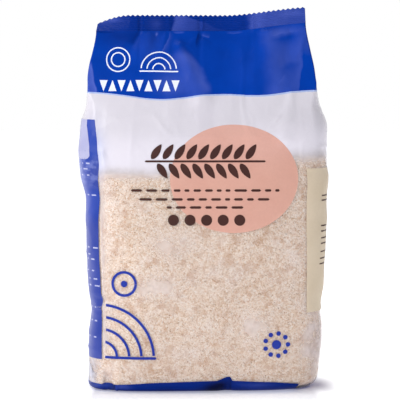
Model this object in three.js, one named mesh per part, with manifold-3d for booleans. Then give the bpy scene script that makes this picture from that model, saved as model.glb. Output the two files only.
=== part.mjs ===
// A stand-up gusseted film bag, sealed at the top and filled to about three fifths
// of its height, as one closed solid. Millimetres, +Z up, the front faces -Y and the
// middle of the footprint is the origin.
import * as THREE from "three";
import Module from "manifold-3d";

const wasm = await Module();
wasm.setup();

// Overall form
const sealFoot = 264; // height of the lower edge of the top seal at mid width
const sealTall = 12; // height of the crimped seal itself
const sealHalfWidth = 77.9;
const sealHalfThick = 0.75;
const ribCount = 8; // crimp ribs across the height of the seal
const ribRise = 0.25;
const toothCount = 43; // teeth of the zig-zag cut
const toothTall = 1.2;
const cornerLift = 6; // the right-hand corner of the seal stands this much higher
const cornerCurl = THREE.MathUtils.degToRad(60); // the left-hand corner bends back
const curlStart = 0.68; // from this share of the half width outwards

// Filled body
const baseHalfWidth = 85.9;
const bellyHalfWidth = 89.3; // half width halfway up
const bulgeHalfWidth = 91.6; // half of the widest level, near the top of the filling
const bodyHalfDepth = 45;
const baseRound = 6.5; // mean rounding where the walls turn in to the flat base
const roundLean = 3; // it is this much larger at the right edge, and smaller at the left
const squareness = 4; // exponent of the rounded-rectangle section
const foldShare = Math.pow(0.5, 1 / squareness); // where the panel folds lie on it
const dentLevel = 60; // a shallow dent runs across each side panel here
const dentDepth = 2;

// Empty neck between the filling and the seal
const shoulderDraw = 6; // how far each side draws in above the filling
const neckFlare = 0.259; // how fast the neck widens well below the seal, on each side
const neckRound = 10; // its sides start straight down over about this height
const neckSlope = 0.47; // and how fast it deepens, on each face
const gussetReach = 40; // how far each gusset is tucked in under the seal
const mouthHalf = 1.05; // half thickness of the closed neck where the seal begins
const tuckStart = 178; // the round body turns into the tucked neck between these levels
const tuckEnd = 239;
const gussetTurn = 206; // above this level the gussets fold inwards

// Back seam, a flat lap down the middle of the back
const seamHalfWidth = 6;
const seamRise = 0.7;
const seamMiddle = 4;

// Mesh density
const panelSteps = 24;
const sideSteps = 10;
const levelCount = 44;
const sealColumns = 2 * toothCount;

const mix = THREE.MathUtils.lerp;
const ramp = (value, from, to) =>
  from < to
    ? THREE.MathUtils.smoothstep(value, from, to)
    : 1 - THREE.MathUtils.smoothstep(value, to, from);
const bump = (value, middle, spread) => Math.exp(-(((value - middle) / spread) ** 2));

// Sideways drift of the section's middle: the filled part leans a little to the right.
function drift(z) {
  const lean = 2.8 * ramp(z, -10, 60) * ramp(z, 182, 138) + bump(z, 195, 14);
  return lean - 0.4 * bump(z, 85, 25) - 0.3 * bump(z, 158, 10) - 1.35 * ramp(z, 205, 244);
}

// Half width and half depth of the rounded-rectangle section at a level.
function bodyHalfWidth(z) {
  const belly = mix(baseHalfWidth, bellyHalfWidth, ramp(z, 0, 130));
  const uneven = 0.6 * bump(z, 32, 12) - 0.6 * bump(z, 82, 18);
  const shoulder = shoulderDraw * (ramp(z, 178, 236) + bump(z, 211, 9));
  return mix(belly, bulgeHalfWidth, ramp(z, 138, 158)) + uneven - shoulder;
}
function bodyDepth(z) {
  const belly = bodyHalfDepth * (0.94 + 0.06 * ramp(z, 0, 50));
  return belly - 9 * ramp(z, 100, 198) - 16 * ramp(z, 183, 237);
}

// Half width and half depth of the front panel in the neck, how far it bows out, and
// where the gusset's inner fold lies.
function neckPanel(z) {
  const below = sealFoot - z;
  const wide = sealHalfWidth + neckFlare * (Math.hypot(below, neckRound) - neckRound);
  const half = mouthHalf + neckSlope * below - 0.0008 * below * below;
  const bow = 5 * ramp(z, sealFoot, 229);
  const inner = wide - gussetReach * ramp(z, gussetTurn, sealFoot);
  return { wide, half, bow, inner };
}

// The seal and the film under it wander a little in depth.
const wave = (x) => 1.6 * Math.sin(x / 17 + 0.6) + 0.9 * Math.sin(x / 7.5 - 1.1);

// Height change that makes the seal's line run up to the right.
const lift = (x) => cornerLift * ramp(x / sealHalfWidth, 0.2, 1.05);

// How far the round at the foot draws the wall in, at a level. across is -1 at the
// bag's left edge and 1 at its right.
function footInset(z, across) {
  const radius = baseRound + roundLean * across;
  const under = Math.max(radius - z, 0);
  return radius - Math.sqrt(radius ** 2 - under ** 2);
}

// One point of the outer surface. side is 0 front, 1 right, 2 back, 3 left, and part
// runs from -1 to 1 along that side, anticlockwise seen from above.
function wallPoint(side, part, z) {
  const onPanel = side % 2 === 0;
  const turn = side >= 2 ? -1 : 1;
  const inset = footInset(z, turn * (onPanel ? part : 1));
  const wide = bodyHalfWidth(z) - inset;
  const deep = bodyDepth(z) - inset;
  const neck = neckPanel(z);
  const tucked = ramp(z, tuckStart, tuckEnd);
  const curve = (share) => Math.pow(1 - Math.pow(Math.abs(share), squareness), 1 / squareness);
  const along = part * foldShare;
  let x, y;
  if (onPanel) {
    x = mix(along * wide, part * neck.wide, tucked);
    y = -mix(curve(along) * deep, neck.half + neck.bow * (1 - part * part), tucked);
  } else {
    const dent = dentDepth * bump(z, dentLevel, 11) * (1 - part ** 4);
    x = mix(curve(along) * wide - dent, mix(neck.inner, neck.wide, Math.abs(part)), tucked);
    y = mix(along * deep, part * neck.half, tucked);
  }
  x = turn * x + drift(z);
  y *= turn;
  // a pleat in the middle of the front foot and a tucked left front corner
  const foot = ramp(z, 20, 4);
  if (side === 0) y += foot * (2.4 * bump(x, 18, 5) + 2 * bump(x, -72, 8));
  y += wave(x) * ramp(z, 212, sealFoot);
  return new THREE.Vector3(x, y, z + lift(x) * ramp(z, 202, sealFoot));
}

// A closed solid from rings of points that run anticlockwise, lowest ring first, with
// an end face across the first ring and one across the last.
function solidFromRings(rings) {
  const count = rings[0].length;
  const faces = [];
  for (let r = 0; r + 1 < rings.length; r++)
    for (let i = 0; i < count; i++) {
      const next = (i + 1) % count;
      const [a, b] = [r * count + i, r * count + next];
      faces.push([a, b, b + count], [a, b + count, a + count]);
    }
  const across = (ring) => {
    const outline = ring.map((p) => new THREE.Vector2(p.x, p.y));
    return THREE.ShapeUtils.triangulateShape(outline, []);
  };
  for (const [a, b, c] of across(rings[0])) faces.push([c, b, a]);
  const top = (rings.length - 1) * count;
  for (const [a, b, c] of across(rings[rings.length - 1]))
    faces.push([top + a, top + b, top + c]);
  return asManifold(rings.flat(), faces);
}

function asManifold(points, faces) {
  return new wasm.Manifold(
    new wasm.Mesh({
      numProp: 3,
      vertProperties: new Float32Array(points.flatMap((p) => [p.x, p.y, p.z])),
      triVerts: new Uint32Array(faces.flat()),
    }),
  );
}

// The walls with the gussets, from the flat base up into the seal.
function makeBody() {
  const roundTop = baseRound + roundLean;
  const levels = [0, 0.5, 1.5, 3, 5.5, roundTop];
  for (let i = 1; i <= levelCount; i++)
    levels.push(mix(roundTop, sealFoot, i / levelCount));
  const rings = levels.map((z) => {
    const ring = [];
    for (let side = 0; side < 4; side++) {
      const steps = side % 2 === 0 ? panelSteps : sideSteps;
      for (let i = 0; i < steps; i++) ring.push(wallPoint(side, -1 + (2 * i) / steps, z));
    }
    return ring;
  });
  return solidFromRings(rings);
}

// A point of the seal's middle surface at a share across, -1 to 1, and a height up it.
function sealPoint(across, up) {
  const x = across * (sealHalfWidth - 0.6 * (up / sealTall)) + drift(sealFoot);
  const bend = cornerCurl * THREE.MathUtils.clamp((-across - curlStart) / (1 - curlStart), 0, 1);
  return new THREE.Vector3(
    x,
    wave(x) + up * Math.sin(bend),
    sealFoot + lift(x) + up * Math.cos(bend),
  );
}

// The crimped seal: a thin wavy plate with ribs on both faces and a zig-zag upper edge.
function makeSeal() {
  const rows = [-1.2];
  for (let i = 0; i <= 2 * ribCount; i++) rows.push((i * (sealTall - toothTall)) / (2 * ribCount));
  rows.push(sealTall);
  const last = rows.length - 1;
  const rings = [];
  for (let r = 0; r <= last; r++) {
    const fine = r >= last - 1;
    const columns = fine ? sealColumns : sealColumns / 2;
    const rib = r > 0 && r % 2 === 0 && !fine ? ribRise : 0;
    const half = sealHalfThick + rib - (r === last ? 0.2 : 0);
    const [front, back] = [[], []];
    for (let i = 0; i <= columns; i++) {
      const notch = r === last && i % 2 === 0 ? toothTall : 0;
      const p = sealPoint(-1 + (2 * i) / columns, rows[r] - notch * 0.9);
      front.push(new THREE.Vector3(p.x, p.y - half, p.z));
      back.push(new THREE.Vector3(p.x, p.y + half, p.z));
    }
    rings.push({ front, back, columns });
  }
  return stitchPlate(rings);
}

// A closed plate from rows of matching front and back points, where a row may have
// twice as many columns as the one under it.
function stitchPlate(rows) {
  const points = [];
  const faces = [];
  const number = (list) => list.map((p) => points.push(p) - 1);
  const rims = rows.map((row) => ({ front: number(row.front), back: number(row.back) }));
  const face = (a, b, c, flip) => faces.push(flip ? [a, c, b] : [a, b, c]);
  for (let r = 0; r + 1 < rims.length; r++) {
    for (const key of ["front", "back"]) {
      const [low, high, flip] = [rims[r][key], rims[r + 1][key], key === "back"];
      const ratio = (high.length - 1) / (low.length - 1);
      for (let i = 0; i + 1 < low.length; i++) {
        face(low[i], low[i + 1], high[(i + 1) * ratio], flip);
        for (let k = ratio; k > 0; k--)
          face(low[i], high[i * ratio + k], high[i * ratio + k - 1], flip);
      }
    }
    const end = (list) => list[list.length - 1];
    const [a, b] = [rims[r], rims[r + 1]];
    face(a.front[0], b.front[0], b.back[0], false);
    face(a.front[0], b.back[0], a.back[0], false);
    face(end(a.front), end(b.back), end(b.front), false);
    face(end(a.front), end(a.back), end(b.back), false);
  }
  for (const [rim, flip] of [
    [rims[0], true],
    [rims[rims.length - 1], false],
  ])
    for (let i = 0; i + 1 < rim.front.length; i++) {
      face(rim.front[i], rim.front[i + 1], rim.back[i + 1], flip);
      face(rim.front[i], rim.back[i + 1], rim.back[i], flip);
    }
  return asManifold(points, faces);
}

// The lap seam down the back, a thin strip that starts inside the wall.
function makeSeam() {
  const rows = [];
  const steps = 40;
  for (let i = 0; i <= steps; i++) {
    const z = mix(baseRound + 2, sealFoot - 3, i / steps);
    const [front, back] = [[], []];
    for (const offset of [-seamHalfWidth, 0, seamHalfWidth]) {
      const p = wallPoint(2, (drift(z) - seamMiddle - offset) / sealHalfWidth, z);
      front.push(new THREE.Vector3(p.x, p.y - 1, p.z));
      back.push(new THREE.Vector3(p.x, p.y + seamRise, p.z));
    }
    rows.push({ front, back });
  }
  return stitchPlate(rows);
}

function toGeometry(solid) {
  const mesh = solid.getMesh();
  const positions = new Float32Array(mesh.numVert * 3);
  for (let i = 0; i < mesh.numVert; i++)
    for (let k = 0; k < 3; k++) positions[3 * i + k] = mesh.vertProperties[i * mesh.numProp + k];
  const geometry = new THREE.BufferGeometry()
    .setAttribute("position", new THREE.BufferAttribute(positions, 3))
    .setIndex(new THREE.BufferAttribute(new Uint32Array(mesh.triVerts), 1));
  geometry.computeVertexNormals();
  return geometry;
}

const solid = makeBody().add(makeSeal()).add(makeSeam());
const geometry = toGeometry(solid);
geometry.computeBoundingBox();
const box = geometry.boundingBox;
geometry.translate(-(box.min.x + box.max.x) / 2, -(box.min.y + box.max.y) / 2, -box.min.z);

const film = new THREE.MeshStandardMaterial({
  color: 0xdcc9b8,
  roughness: 0.35,
  metalness: 0,
});

const bag = new THREE.Mesh(geometry, film);
bag.name = "bag";

const part = new THREE.Group();
part.name = "gusseted_film_bag";
part.add(bag);

export default part;
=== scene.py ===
"""A printed, gusseted film bag of milled oats, standing upright and sealed at the top.

Shape maths works in millimetres in the CAD model's frame (+Z up, the printed front
faces -Y) and becomes metres when a mesh is made. A place on the bag's wall is written
as (s, z): s runs once round the bag, 0 to 1 along the front from left to right, 1 to 2
along the right side, 2 to 3 along the back and 3 to 4 along the left side.
"""

from __future__ import annotations

import logging
import math
from dataclasses import dataclass
from enum import IntEnum
from typing import Any, Callable, Iterable, Sequence

import bpy
import numpy as np
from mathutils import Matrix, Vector


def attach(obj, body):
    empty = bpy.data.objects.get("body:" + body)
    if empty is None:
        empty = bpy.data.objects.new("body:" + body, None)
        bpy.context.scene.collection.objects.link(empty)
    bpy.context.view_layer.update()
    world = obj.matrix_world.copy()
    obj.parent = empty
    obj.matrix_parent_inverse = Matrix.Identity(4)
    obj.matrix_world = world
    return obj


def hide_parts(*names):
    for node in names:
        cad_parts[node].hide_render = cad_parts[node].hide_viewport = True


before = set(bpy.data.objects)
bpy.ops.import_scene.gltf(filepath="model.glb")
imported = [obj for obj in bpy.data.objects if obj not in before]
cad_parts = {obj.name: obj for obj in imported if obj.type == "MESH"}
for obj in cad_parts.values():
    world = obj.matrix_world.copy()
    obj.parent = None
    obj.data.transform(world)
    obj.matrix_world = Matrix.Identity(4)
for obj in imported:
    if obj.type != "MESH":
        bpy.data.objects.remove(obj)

Array = np.ndarray
Colour = tuple[float, float, float]
MM = 0.001
TAU = 2.0 * math.pi
TINY = 1e-9
BAKE_MAP = "OFBake"
BAKE_MARGIN = 0.01
CAP_MIDDLE = (0.5, 0.005)
CAP_RADIUS = 0.003
SPOT_EDGE = 0.12
LOG = logging.getLogger("oat_bag")


# --------------------------------------------------------------------------- maths


def mix(a: Any, b: Any, share: Any) -> Any:
    """Linear blend from a to b."""
    return a + (b - a) * share


def ramp(value: Any, start: float, end: float) -> Any:
    """Smooth step from 0 at start to 1 at end; a start above end falls instead.

    Args:
        value: a number or an array.
        start: where it is 0.
        end: where it is 1.

    Returns:
        0 to 1.
    """
    if start > end:
        return 1.0 - ramp(value, end, start)
    t = np.clip((value - start) / (end - start), 0.0, 1.0)
    return t * t * (3.0 - 2.0 * t)


def bump(value: Any, middle: float, spread: float) -> Any:
    """A smooth hump of height 1."""
    return np.exp(-(((value - middle) / spread) ** 2))


def unit(vectors: Array) -> Array:
    """Vectors of the same directions, each of length 1."""
    return vectors / np.maximum(np.linalg.norm(vectors, axis=-1, keepdims=True), TINY)


def srgb(red: int, green: int, blue: int) -> Colour:
    """Turns 0 to 255 screen values into the linear values that shaders take.

    Args:
        red: 0 to 255.
        green: 0 to 255.
        blue: 0 to 255.

    Returns:
        Linear red, green and blue, 0 to 1.
    """

    def linear(value: int) -> float:
        """One channel."""
        share = value / 255.0
        return share / 12.92 if share <= 0.04045 else ((share + 0.055) / 1.055) ** 2.4

    return linear(red), linear(green), linear(blue)


class SmoothNoise:
    """Seeded value noise over points, from -1 to 1."""

    SIDE = 32
    SHIFT = 17.3
    CREST = 0.35

    def __init__(self, seed: int) -> None:
        """Fills the table of values from a seed."""
        self.table = np.random.default_rng(seed).uniform(-1.0, 1.0, (self.SIDE,) * 3)

    def at(self, points: Array, cell: float | Sequence[float]) -> Array:
        """Noise with the given cell size, in the points' unit.

        Args:
            points: array of shape (..., 3).
            cell: one size, or one for each axis.

        Returns:
            Array of shape (...).
        """
        scaled = points / np.asarray(cell, dtype=float)
        low = np.floor(scaled).astype(int)
        share = scaled - low
        share = share * share * (3.0 - 2.0 * share)
        total = np.zeros(points.shape[:-1])
        for corner in range(8):
            step = np.array([corner & 1, corner >> 1 & 1, corner >> 2 & 1])
            index = (low + step) % self.SIDE
            weight = np.prod(np.where(step == 1, share, 1.0 - share), axis=-1)
            total += weight * self.table[index[..., 0], index[..., 1], index[..., 2]]
        return total

    def layered(self, points: Array, cell: float, layers: int = 3) -> Array:
        """Several octaves of the noise, still about -1 to 1.

        Args:
            points: array of shape (..., 3).
            cell: size of the coarsest cells.
            layers: how many octaves.

        Returns:
            Array of shape (...).
        """
        total, weight = np.zeros(points.shape[:-1]), 0.0
        for k in range(layers):
            total += self.at(points + self.SHIFT * k, cell / 2**k) / 2**k
            weight += 1 / 2**k
        return total / weight

    def ridges(self, points: Array, cell: float | Sequence[float]) -> Array:
        """Thin crests, 0 to 1, where the noise crosses zero."""
        return np.clip(1.0 - np.abs(self.at(points, cell)) / self.CREST, 0.0, 1.0) ** 2


# ----------------------------------------------------------------------- bag's form


class Side(IntEnum):
    """The bag's four faces, in the order in which s runs."""

    FRONT = 0
    RIGHT = 1
    BACK = 2
    LEFT = 3


@dataclass(frozen=True)
class BagSize:
    """Driving dimensions of the bag, in millimetres, as in the CAD source."""

    seal_foot: float = 264.0
    seal_tall: float = 12.0
    seal_half_width: float = 77.9
    seal_half_thick: float = 0.5
    ribs: int = 8
    rib_rise: float = 0.34
    teeth: int = 43
    tooth_tall: float = 1.2
    corner_lift: float = 6.0
    corner_curl: float = math.radians(60)
    curl_start: float = 0.68
    base_half_width: float = 85.9
    belly_half_width: float = 89.3
    bulge_half_width: float = 91.6
    body_half_depth: float = 45.0
    base_round: float = 6.5
    round_lean: float = 3.0
    squareness: float = 4.0
    dent_level: float = 60.0
    dent_depth: float = 2.0
    shoulder_draw: float = 6.0
    neck_flare: float = 0.259
    neck_round: float = 10.0
    neck_slope: float = 0.47
    gusset_reach: float = 40.0
    mouth_half: float = 0.7
    tuck_start: float = 178.0
    tuck_end: float = 239.0
    gusset_turn: float = 206.0
    seam_half_width: float = 6.0
    seam_rise: float = 0.55
    seam_middle: float = 4.0
    centre_shift: tuple[float, float] = (-0.87, -0.35)

    @property
    def fold_share(self) -> float:
        """Where the panel folds lie on the rounded-rectangle section."""
        return 0.5 ** (1.0 / self.squareness)


@dataclass(frozen=True)
class Crease:
    """A raised or sunk line in the front film, between two points in (x, z)."""

    start: tuple[float, float]
    end: tuple[float, float]
    rise: float
    spread: float
    fade_end: bool = True

    def height(self, x: Array, z: Array) -> Array:
        """Height of the crease at points, in millimetres outwards.

        Args:
            x: sideways position.
            z: level.

        Returns:
            Millimetres, below 0 where the crease is sunk.
        """
        (x0, z0), (x1, z1) = self.start, self.end
        length = math.hypot(x1 - x0, z1 - z0)
        ux, uz = (x1 - x0) / length, (z1 - z0) / length
        run = ((x - x0) * ux + (z - z0) * uz) / length
        across = (x - x0) * uz - (z - z0) * ux
        reach = np.clip(run, 0.0, 1.0)
        beyond = (run - reach) * length
        spread = self.spread * (0.6 + 0.9 * reach)
        tail = 1.0 - 0.8 * reach if self.fade_end else 1.0
        return self.rise * tail * np.exp(-((across / spread) ** 2) - (beyond / 4.0) ** 2)


FRONT_CREASES = (
    Crease((-46.5, 265.0), (-55.0, 248.0), -1.6, 2.6),
    Crease((-40.0, 264.0), (-44.0, 240.0), 1.0, 4.0),
    Crease((-27.9, 265.0), (-31.5, 244.0), 1.1, 1.8),
    Crease((-33.5, 264.0), (-38.0, 250.0), -0.8, 2.4),
    Crease((-1.9, 266.0), (-2.8, 255.0), -1.4, 1.6),
    Crease((-1.0, 260.0), (10.0, 254.0), -0.7, 1.2),
    Crease((-4.0, 260.0), (-13.0, 252.0), 0.7, 1.4),
    Crease((-18.0, 252.0), (0.0, 214.0), 2.0, 6.0, False),
    Crease((38.0, 265.0), (36.0, 238.0), -1.0, 4.0),
    Crease((47.0, 264.0), (52.0, 222.0), 1.9, 9.0, False),
    Crease((66.0, 260.0), (58.0, 226.0), -1.2, 5.0),
    Crease((73.0, 250.0), (64.0, 232.0), 0.9, 3.0),
    Crease((-76.0, 204.0), (-70.0, 176.0), -0.5, 9.0, False),
    Crease((-73.5, 173.0), (-71.0, 156.0), 1.2, 3.4),
    Crease((64.0, 216.0), (58.0, 186.0), 1.0, 5.0, False),
    Crease((54.0, 200.0), (47.0, 192.0), 0.6, 1.6),
    Crease((30.0, 214.0), (24.0, 180.0), -0.7, 9.0, False),
    Crease((-22.0, 214.0), (-30.0, 176.0), 0.7, 10.0, False),
    Crease((-76.0, 62.0), (-64.0, 58.0), 1.2, 1.8),
    Crease((-77.0, 68.0), (-68.0, 66.0), -1.0, 2.2),
    Crease((18.0, 1.0), (18.8, 14.0), 1.0, 1.6),
    Crease((13.0, 1.0), (10.0, 12.0), -0.9, 3.0),
    Crease((71.0, 261.0), (51.0, 257.8), -0.7, 1.7),
    Crease((70.0, 241.0), (53.0, 236.0), -0.7, 2.0),
    Crease((-63.5, 0.3), (-64.5, 7.0), 1.0, 2.2, False),
    Crease((-69.0, 0.3), (-68.5, 7.0), -1.1, 2.0, False),
    Crease((-84.0, 4.5), (-72.0, 3.0), 0.6, 0.9, False),
)


class BagForm:
    """The bag's outer surface, and what lies on or under it."""

    STEP_ROUND = 0.006
    STEP_UP = 0.4

    def __init__(self, size: BagSize) -> None:
        """Keeps the sizes and seeds the creases."""
        self.size = size
        self.soft = SmoothNoise(11)
        self.crumple = SmoothNoise(23)

    # -- sections

    def drift(self, z: Array) -> Array:
        """Sideways shift of the section's middle at a level."""
        lean = 2.8 * ramp(z, -10, 60) * ramp(z, 182, 138) + bump(z, 195, 14)
        return lean - 0.4 * bump(z, 85, 25) - 0.3 * bump(z, 158, 10) - 1.35 * ramp(z, 205, 244)

    def body_half_width(self, z: Array) -> Array:
        """Half width of the filled body's section.

        Args:
            z: level.

        Returns:
            Millimetres.
        """
        size = self.size
        belly = mix(size.base_half_width, size.belly_half_width, ramp(z, 0, 130))
        uneven = 0.6 * bump(z, 32, 12) - 0.6 * bump(z, 82, 18)
        shoulder = size.shoulder_draw * (ramp(z, 178, 236) + bump(z, 211, 9))
        return mix(belly, size.bulge_half_width, ramp(z, 138, 158)) + uneven - shoulder

    def body_half_depth(self, z: Array) -> Array:
        """Half depth of the filled body's section."""
        belly = self.size.body_half_depth * (0.94 + 0.06 * ramp(z, 0, 50))
        return belly - 9 * ramp(z, 100, 198) - 16 * ramp(z, 183, 237)

    def neck(self, z: Array) -> tuple[Array, Array, Array, Array]:
        """Half width, half depth, bow and gusset fold of the tucked neck.

        Args:
            z: level.

        Returns:
            The four in that order, in millimetres.
        """
        size = self.size
        below = size.seal_foot - z
        wide = size.seal_half_width + size.neck_flare * (
            np.hypot(below, size.neck_round) - size.neck_round
        )
        half = size.mouth_half + size.neck_slope * below - 0.0008 * below * below
        bow = 5.0 * ramp(z, size.seal_foot, 229)
        inner = wide - size.gusset_reach * ramp(z, size.gusset_turn, size.seal_foot)
        return wide, half, bow, inner

    def wave(self, x: Array) -> Array:
        """How the seal and the film under it wander in depth.

        Args:
            x: sideways position.

        Returns:
            Millimetres, backwards above 0.
        """
        slow = 1.6 * np.sin(x / 17 + 0.6) + 0.9 * np.sin(x / 7.5 - 1.1)
        tucks = 0.55 * bump(x, -2.0, 1.5) - 0.45 * bump(x, -25.0, 1.8)
        return slow + tucks + 0.6 * bump(x, -46.5, 1.5) - 0.5 * bump(x, 38.0, 2.0)

    def lift(self, x: Array) -> Array:
        """Height change that makes the seal's line run up to the right."""
        return self.size.corner_lift * ramp(x / self.size.seal_half_width, 0.2, 1.05)

    def foot_inset(self, z: Array, across: Array) -> Array:
        """How far the round at the foot draws the wall in.

        Args:
            z: level.
            across: -1 at the bag's left edge to 1 at its right, where the round is larger.

        Returns:
            Millimetres.
        """
        radius = self.size.base_round + self.size.round_lean * across
        under = np.clip(radius - z, 0.0, radius)
        return radius - np.sqrt(radius**2 - under**2)

    def wall(self, s: Array, z: Array) -> Array:
        """The plain outer surface, without creases.

        Args:
            s: place round the bag.
            z: level, before the seal's line is tilted.

        Returns:
            Points in millimetres, shape (..., 3).
        """
        size = self.size
        side = np.floor(s).astype(int) % 4
        part = 2.0 * (s - np.floor(s)) - 1.0
        turn = np.where(side >= 2, -1.0, 1.0)
        panel = side % 2 == 0
        inset = self.foot_inset(z, np.where(panel, part, 1.0) * turn)
        wide = self.body_half_width(z) - inset
        deep = self.body_half_depth(z) - inset
        neck_wide, neck_half, bow, inner = self.neck(z)
        tucked = ramp(z, size.tuck_start, size.tuck_end)
        along = part * size.fold_share
        curve = (1.0 - np.abs(along) ** size.squareness) ** (1.0 / size.squareness)
        panel_x = mix(along * wide, part * neck_wide, tucked)
        panel_y = -mix(curve * deep, neck_half + bow * (1.0 - part**2), tucked)
        dent = size.dent_depth * bump(z, size.dent_level, 11) * (1.0 - part**4)
        side_x = mix(curve * wide - dent, mix(inner, neck_wide, np.abs(part)), tucked)
        side_y = mix(along * deep, part * neck_half, tucked)
        x = np.where(panel, panel_x, side_x) * turn
        y = np.where(panel, panel_y, side_y) * turn
        x = x + self.drift(z)
        foot = ramp(z, 20, 4) * (side == Side.FRONT)
        y = y + foot * (2.4 * bump(x, 18, 5) + 2.0 * bump(x, -72, 8))
        y = y + self.wave(x) * ramp(z, 212, size.seal_foot)
        up = z + self.lift(x) * ramp(z, 202, size.seal_foot)
        shift = size.centre_shift
        return np.stack([x + shift[0], y + shift[1], up], axis=-1)

    def normals(self, s: Array, z: Array) -> Array:
        """Unit normals of the wall, outwards.

        Args:
            s: place round the bag.
            z: level.

        Returns:
            Shape (..., 3).
        """
        around = self.wall(s + self.STEP_ROUND, z) - self.wall(s - self.STEP_ROUND, z)
        low = np.maximum(z - self.STEP_UP, 0.0)
        return unit(np.cross(around, self.wall(s, z + self.STEP_UP) - self.wall(s, low)))

    def relief(self, points: Array, normals: Array, z: Array) -> Array:
        """Height of creases and soft undulation in the film, in millimetres.

        Args:
            points: places on the wall.
            normals: the wall's directions there.
            z: level.

        Returns:
            Millimetres outwards.
        """
        size = self.size
        facing = ramp(-normals[..., 1], 0.25, 0.7)
        behind = ramp(normals[..., 1], 0.25, 0.7)
        flank = ramp(np.abs(normals[..., 0]), 0.3, 0.8)
        x = points[..., 0]
        lines = sum(crease.height(x, z) for crease in FRONT_CREASES)
        mirrored = sum(crease.height(6.0 - x, z) for crease in FRONT_CREASES[:11])
        empty = ramp(z, 150, 185)
        calm = ramp(z, size.seal_foot - 1.0, size.seal_foot - 16.0) * ramp(z, 0.5, 9.0)
        fade = ramp(z, size.seal_foot, size.seal_foot - 4.0)
        slow = self.soft.at(points, (34.0, 60.0, 70.0)) * mix(0.5, 0.85, empty)
        loose = self.soft.layered(points + 90.0, 24.0, 2) * mix(0.25, 0.34, empty)
        crumple = self.crumple.ridges(points, (20.0, 20.0, 34.0))
        fine = self.crumple.ridges(points + 40.0, (9.0, 12.0, 13.0))
        rough = crumple * mix(0.15, 0.4, empty) + fine * mix(0.06, 0.13, empty)
        sideways = self.crumple.ridges(points + 70.0, (40.0, 26.0, 15.0)) * 0.5 * flank
        waves = (slow + loose) * (1.0 - 0.55 * flank) + rough + sideways * ramp(z, 235, 200)
        return waves * calm + (lines * facing + mirrored * behind) * fade

    def skin(self, s: Array, z: Array, out: Any = 0.0) -> Array:
        """The film's surface with its creases, moved outwards by a distance.

        Args:
            s: place round the bag.
            z: level.
            out: the distance, a number or an array.

        Returns:
            Points in millimetres, shape (..., 3).
        """
        s, z = np.broadcast_arrays(np.asarray(s, float), np.asarray(z, float))
        points, normals = self.wall(s, z), self.normals(s, z)
        height = self.relief(points, normals, z)
        return points + normals * (height + out)[..., None]

    # -- lines across the bag

    def band_edge(self, x: Array) -> Array:
        """Level of the upper print's lower edge.

        Args:
            x: sideways position.

        Returns:
            Levels in millimetres.
        """
        edge = 217.1 - 3.0 * bump(x, -29.0, 26.0) + 2.2 * ramp(np.abs(x), 30.0, 80.0)
        edge = edge + 0.75 * bump(x, 17.0, 10.0) - 0.95 * bump(x, 44.6, 12.5)
        return edge - 0.45 * bump(x, -20.7, 8.0) + 0.35 * bump(x, -50.0, 12.0)

    def foot_edge(self, s: Array, x: Array) -> Array:
        """Level of the foot print's upper edge.

        Args:
            s: place round the bag.
            x: sideways position.

        Returns:
            Levels in millimetres.
        """
        front = 5.2 + 1.9 * ramp(x, -66.0, -30.0) + 1.5 * ramp(x, -40.0, 10.0)
        front = front - 0.9 * ramp(x, 20.0, 45.0) - 3.2 * ramp(x, 45.0, 84.0)
        corner = 0.7 * ramp(x, -65.0, -70.0) + 0.9 * ramp(x, -72.0, -80.0)
        peak = 3.1 * ramp(x, 8.5, 18.4) * ramp(x, 20.6, 19.2)
        front = mix(front + corner + peak, 1.0, ramp(x, 73.0, 75.5))
        side = mix(1.0, 5.5, ramp(s, 1.5, 1.8))
        return np.where(s < 1.0, front, np.where(s < 2.0, side, 5.5 - 0.5 * ramp(s, 3.6, 4.0)))

    def fill_level(self, x: Array) -> Array:
        """Level of the oats against the front film."""
        return 162.5 + 12.5 * ramp(x, -20.0, 82.0)

    # -- places

    def s_of_front(self, x: Array, z: Array) -> Array:
        """The place round the bag of a point of the front at sideways position x.

        Args:
            x: sideways position.
            z: level.

        Returns:
            0 to 1.
        """
        z = np.asarray(z, float)
        tucked = ramp(z, self.size.tuck_start, self.size.tuck_end)
        wide = self.body_half_width(z) - self.foot_inset(z, x / self.size.base_half_width)
        half = mix(self.size.fold_share * wide, self.neck(z)[0], tucked)
        part = (x - self.size.centre_shift[0] - self.drift(z)) / half
        return (np.clip(part, -0.999, 0.999) + 1.0) / 2.0

    def s_of_side(self, side: Side, part: Array) -> Array:
        """The place round the bag at a share, -1 to 1, along one side."""
        return side + (np.asarray(part, float) + 1.0) / 2.0


# --------------------------------------------------------------------------- meshes


def grid_faces(rows: int, columns: int, closed: bool = False) -> Array:
    """Quads of a grid of points in row order, wound to face out for anticlockwise rows.

    Args:
        rows: how many rows of points.
        columns: how many points in a row.
        closed: join the ends of each row.

    Returns:
        Four point numbers for each face.
    """
    last = columns if closed else columns - 1
    row = np.arange(rows - 1)[:, None] * columns
    here = np.arange(last)[None, :]
    after = (here + 1) % columns
    quads = [row + here, row + after, row + after + columns, row + here + columns]
    return np.stack(quads, axis=-1).reshape(-1, 4)


def make_object(
    name: str,
    points: Array,
    faces: Iterable[Sequence[int]],
    uv: Array | None = None,
) -> bpy.types.Object:
    """Makes a mesh object at the origin from points in millimetres.

    Args:
        name: the piece's name.
        points: shape (n, 3).
        faces: vertex numbers of each face, three or four each.
        uv: one (u, v) for each face corner, in order, for the exported colours.

    Returns:
        The linked object.
    """
    mesh = bpy.data.meshes.new(name)
    face_list = [tuple(int(i) for i in face) for face in faces]
    mesh.from_pydata((points * MM).tolist(), [], face_list)
    if uv is not None:
        layer = mesh.uv_layers.new(name=BAKE_MAP)
        layer.data.foreach_set("uv", np.asarray(uv, dtype=np.float32).ravel())
    mesh.polygons.foreach_set("use_smooth", [True] * len(mesh.polygons))
    mesh.update()
    made = bpy.data.objects.new(name, mesh)
    bpy.context.scene.collection.objects.link(made)
    return made


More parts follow.
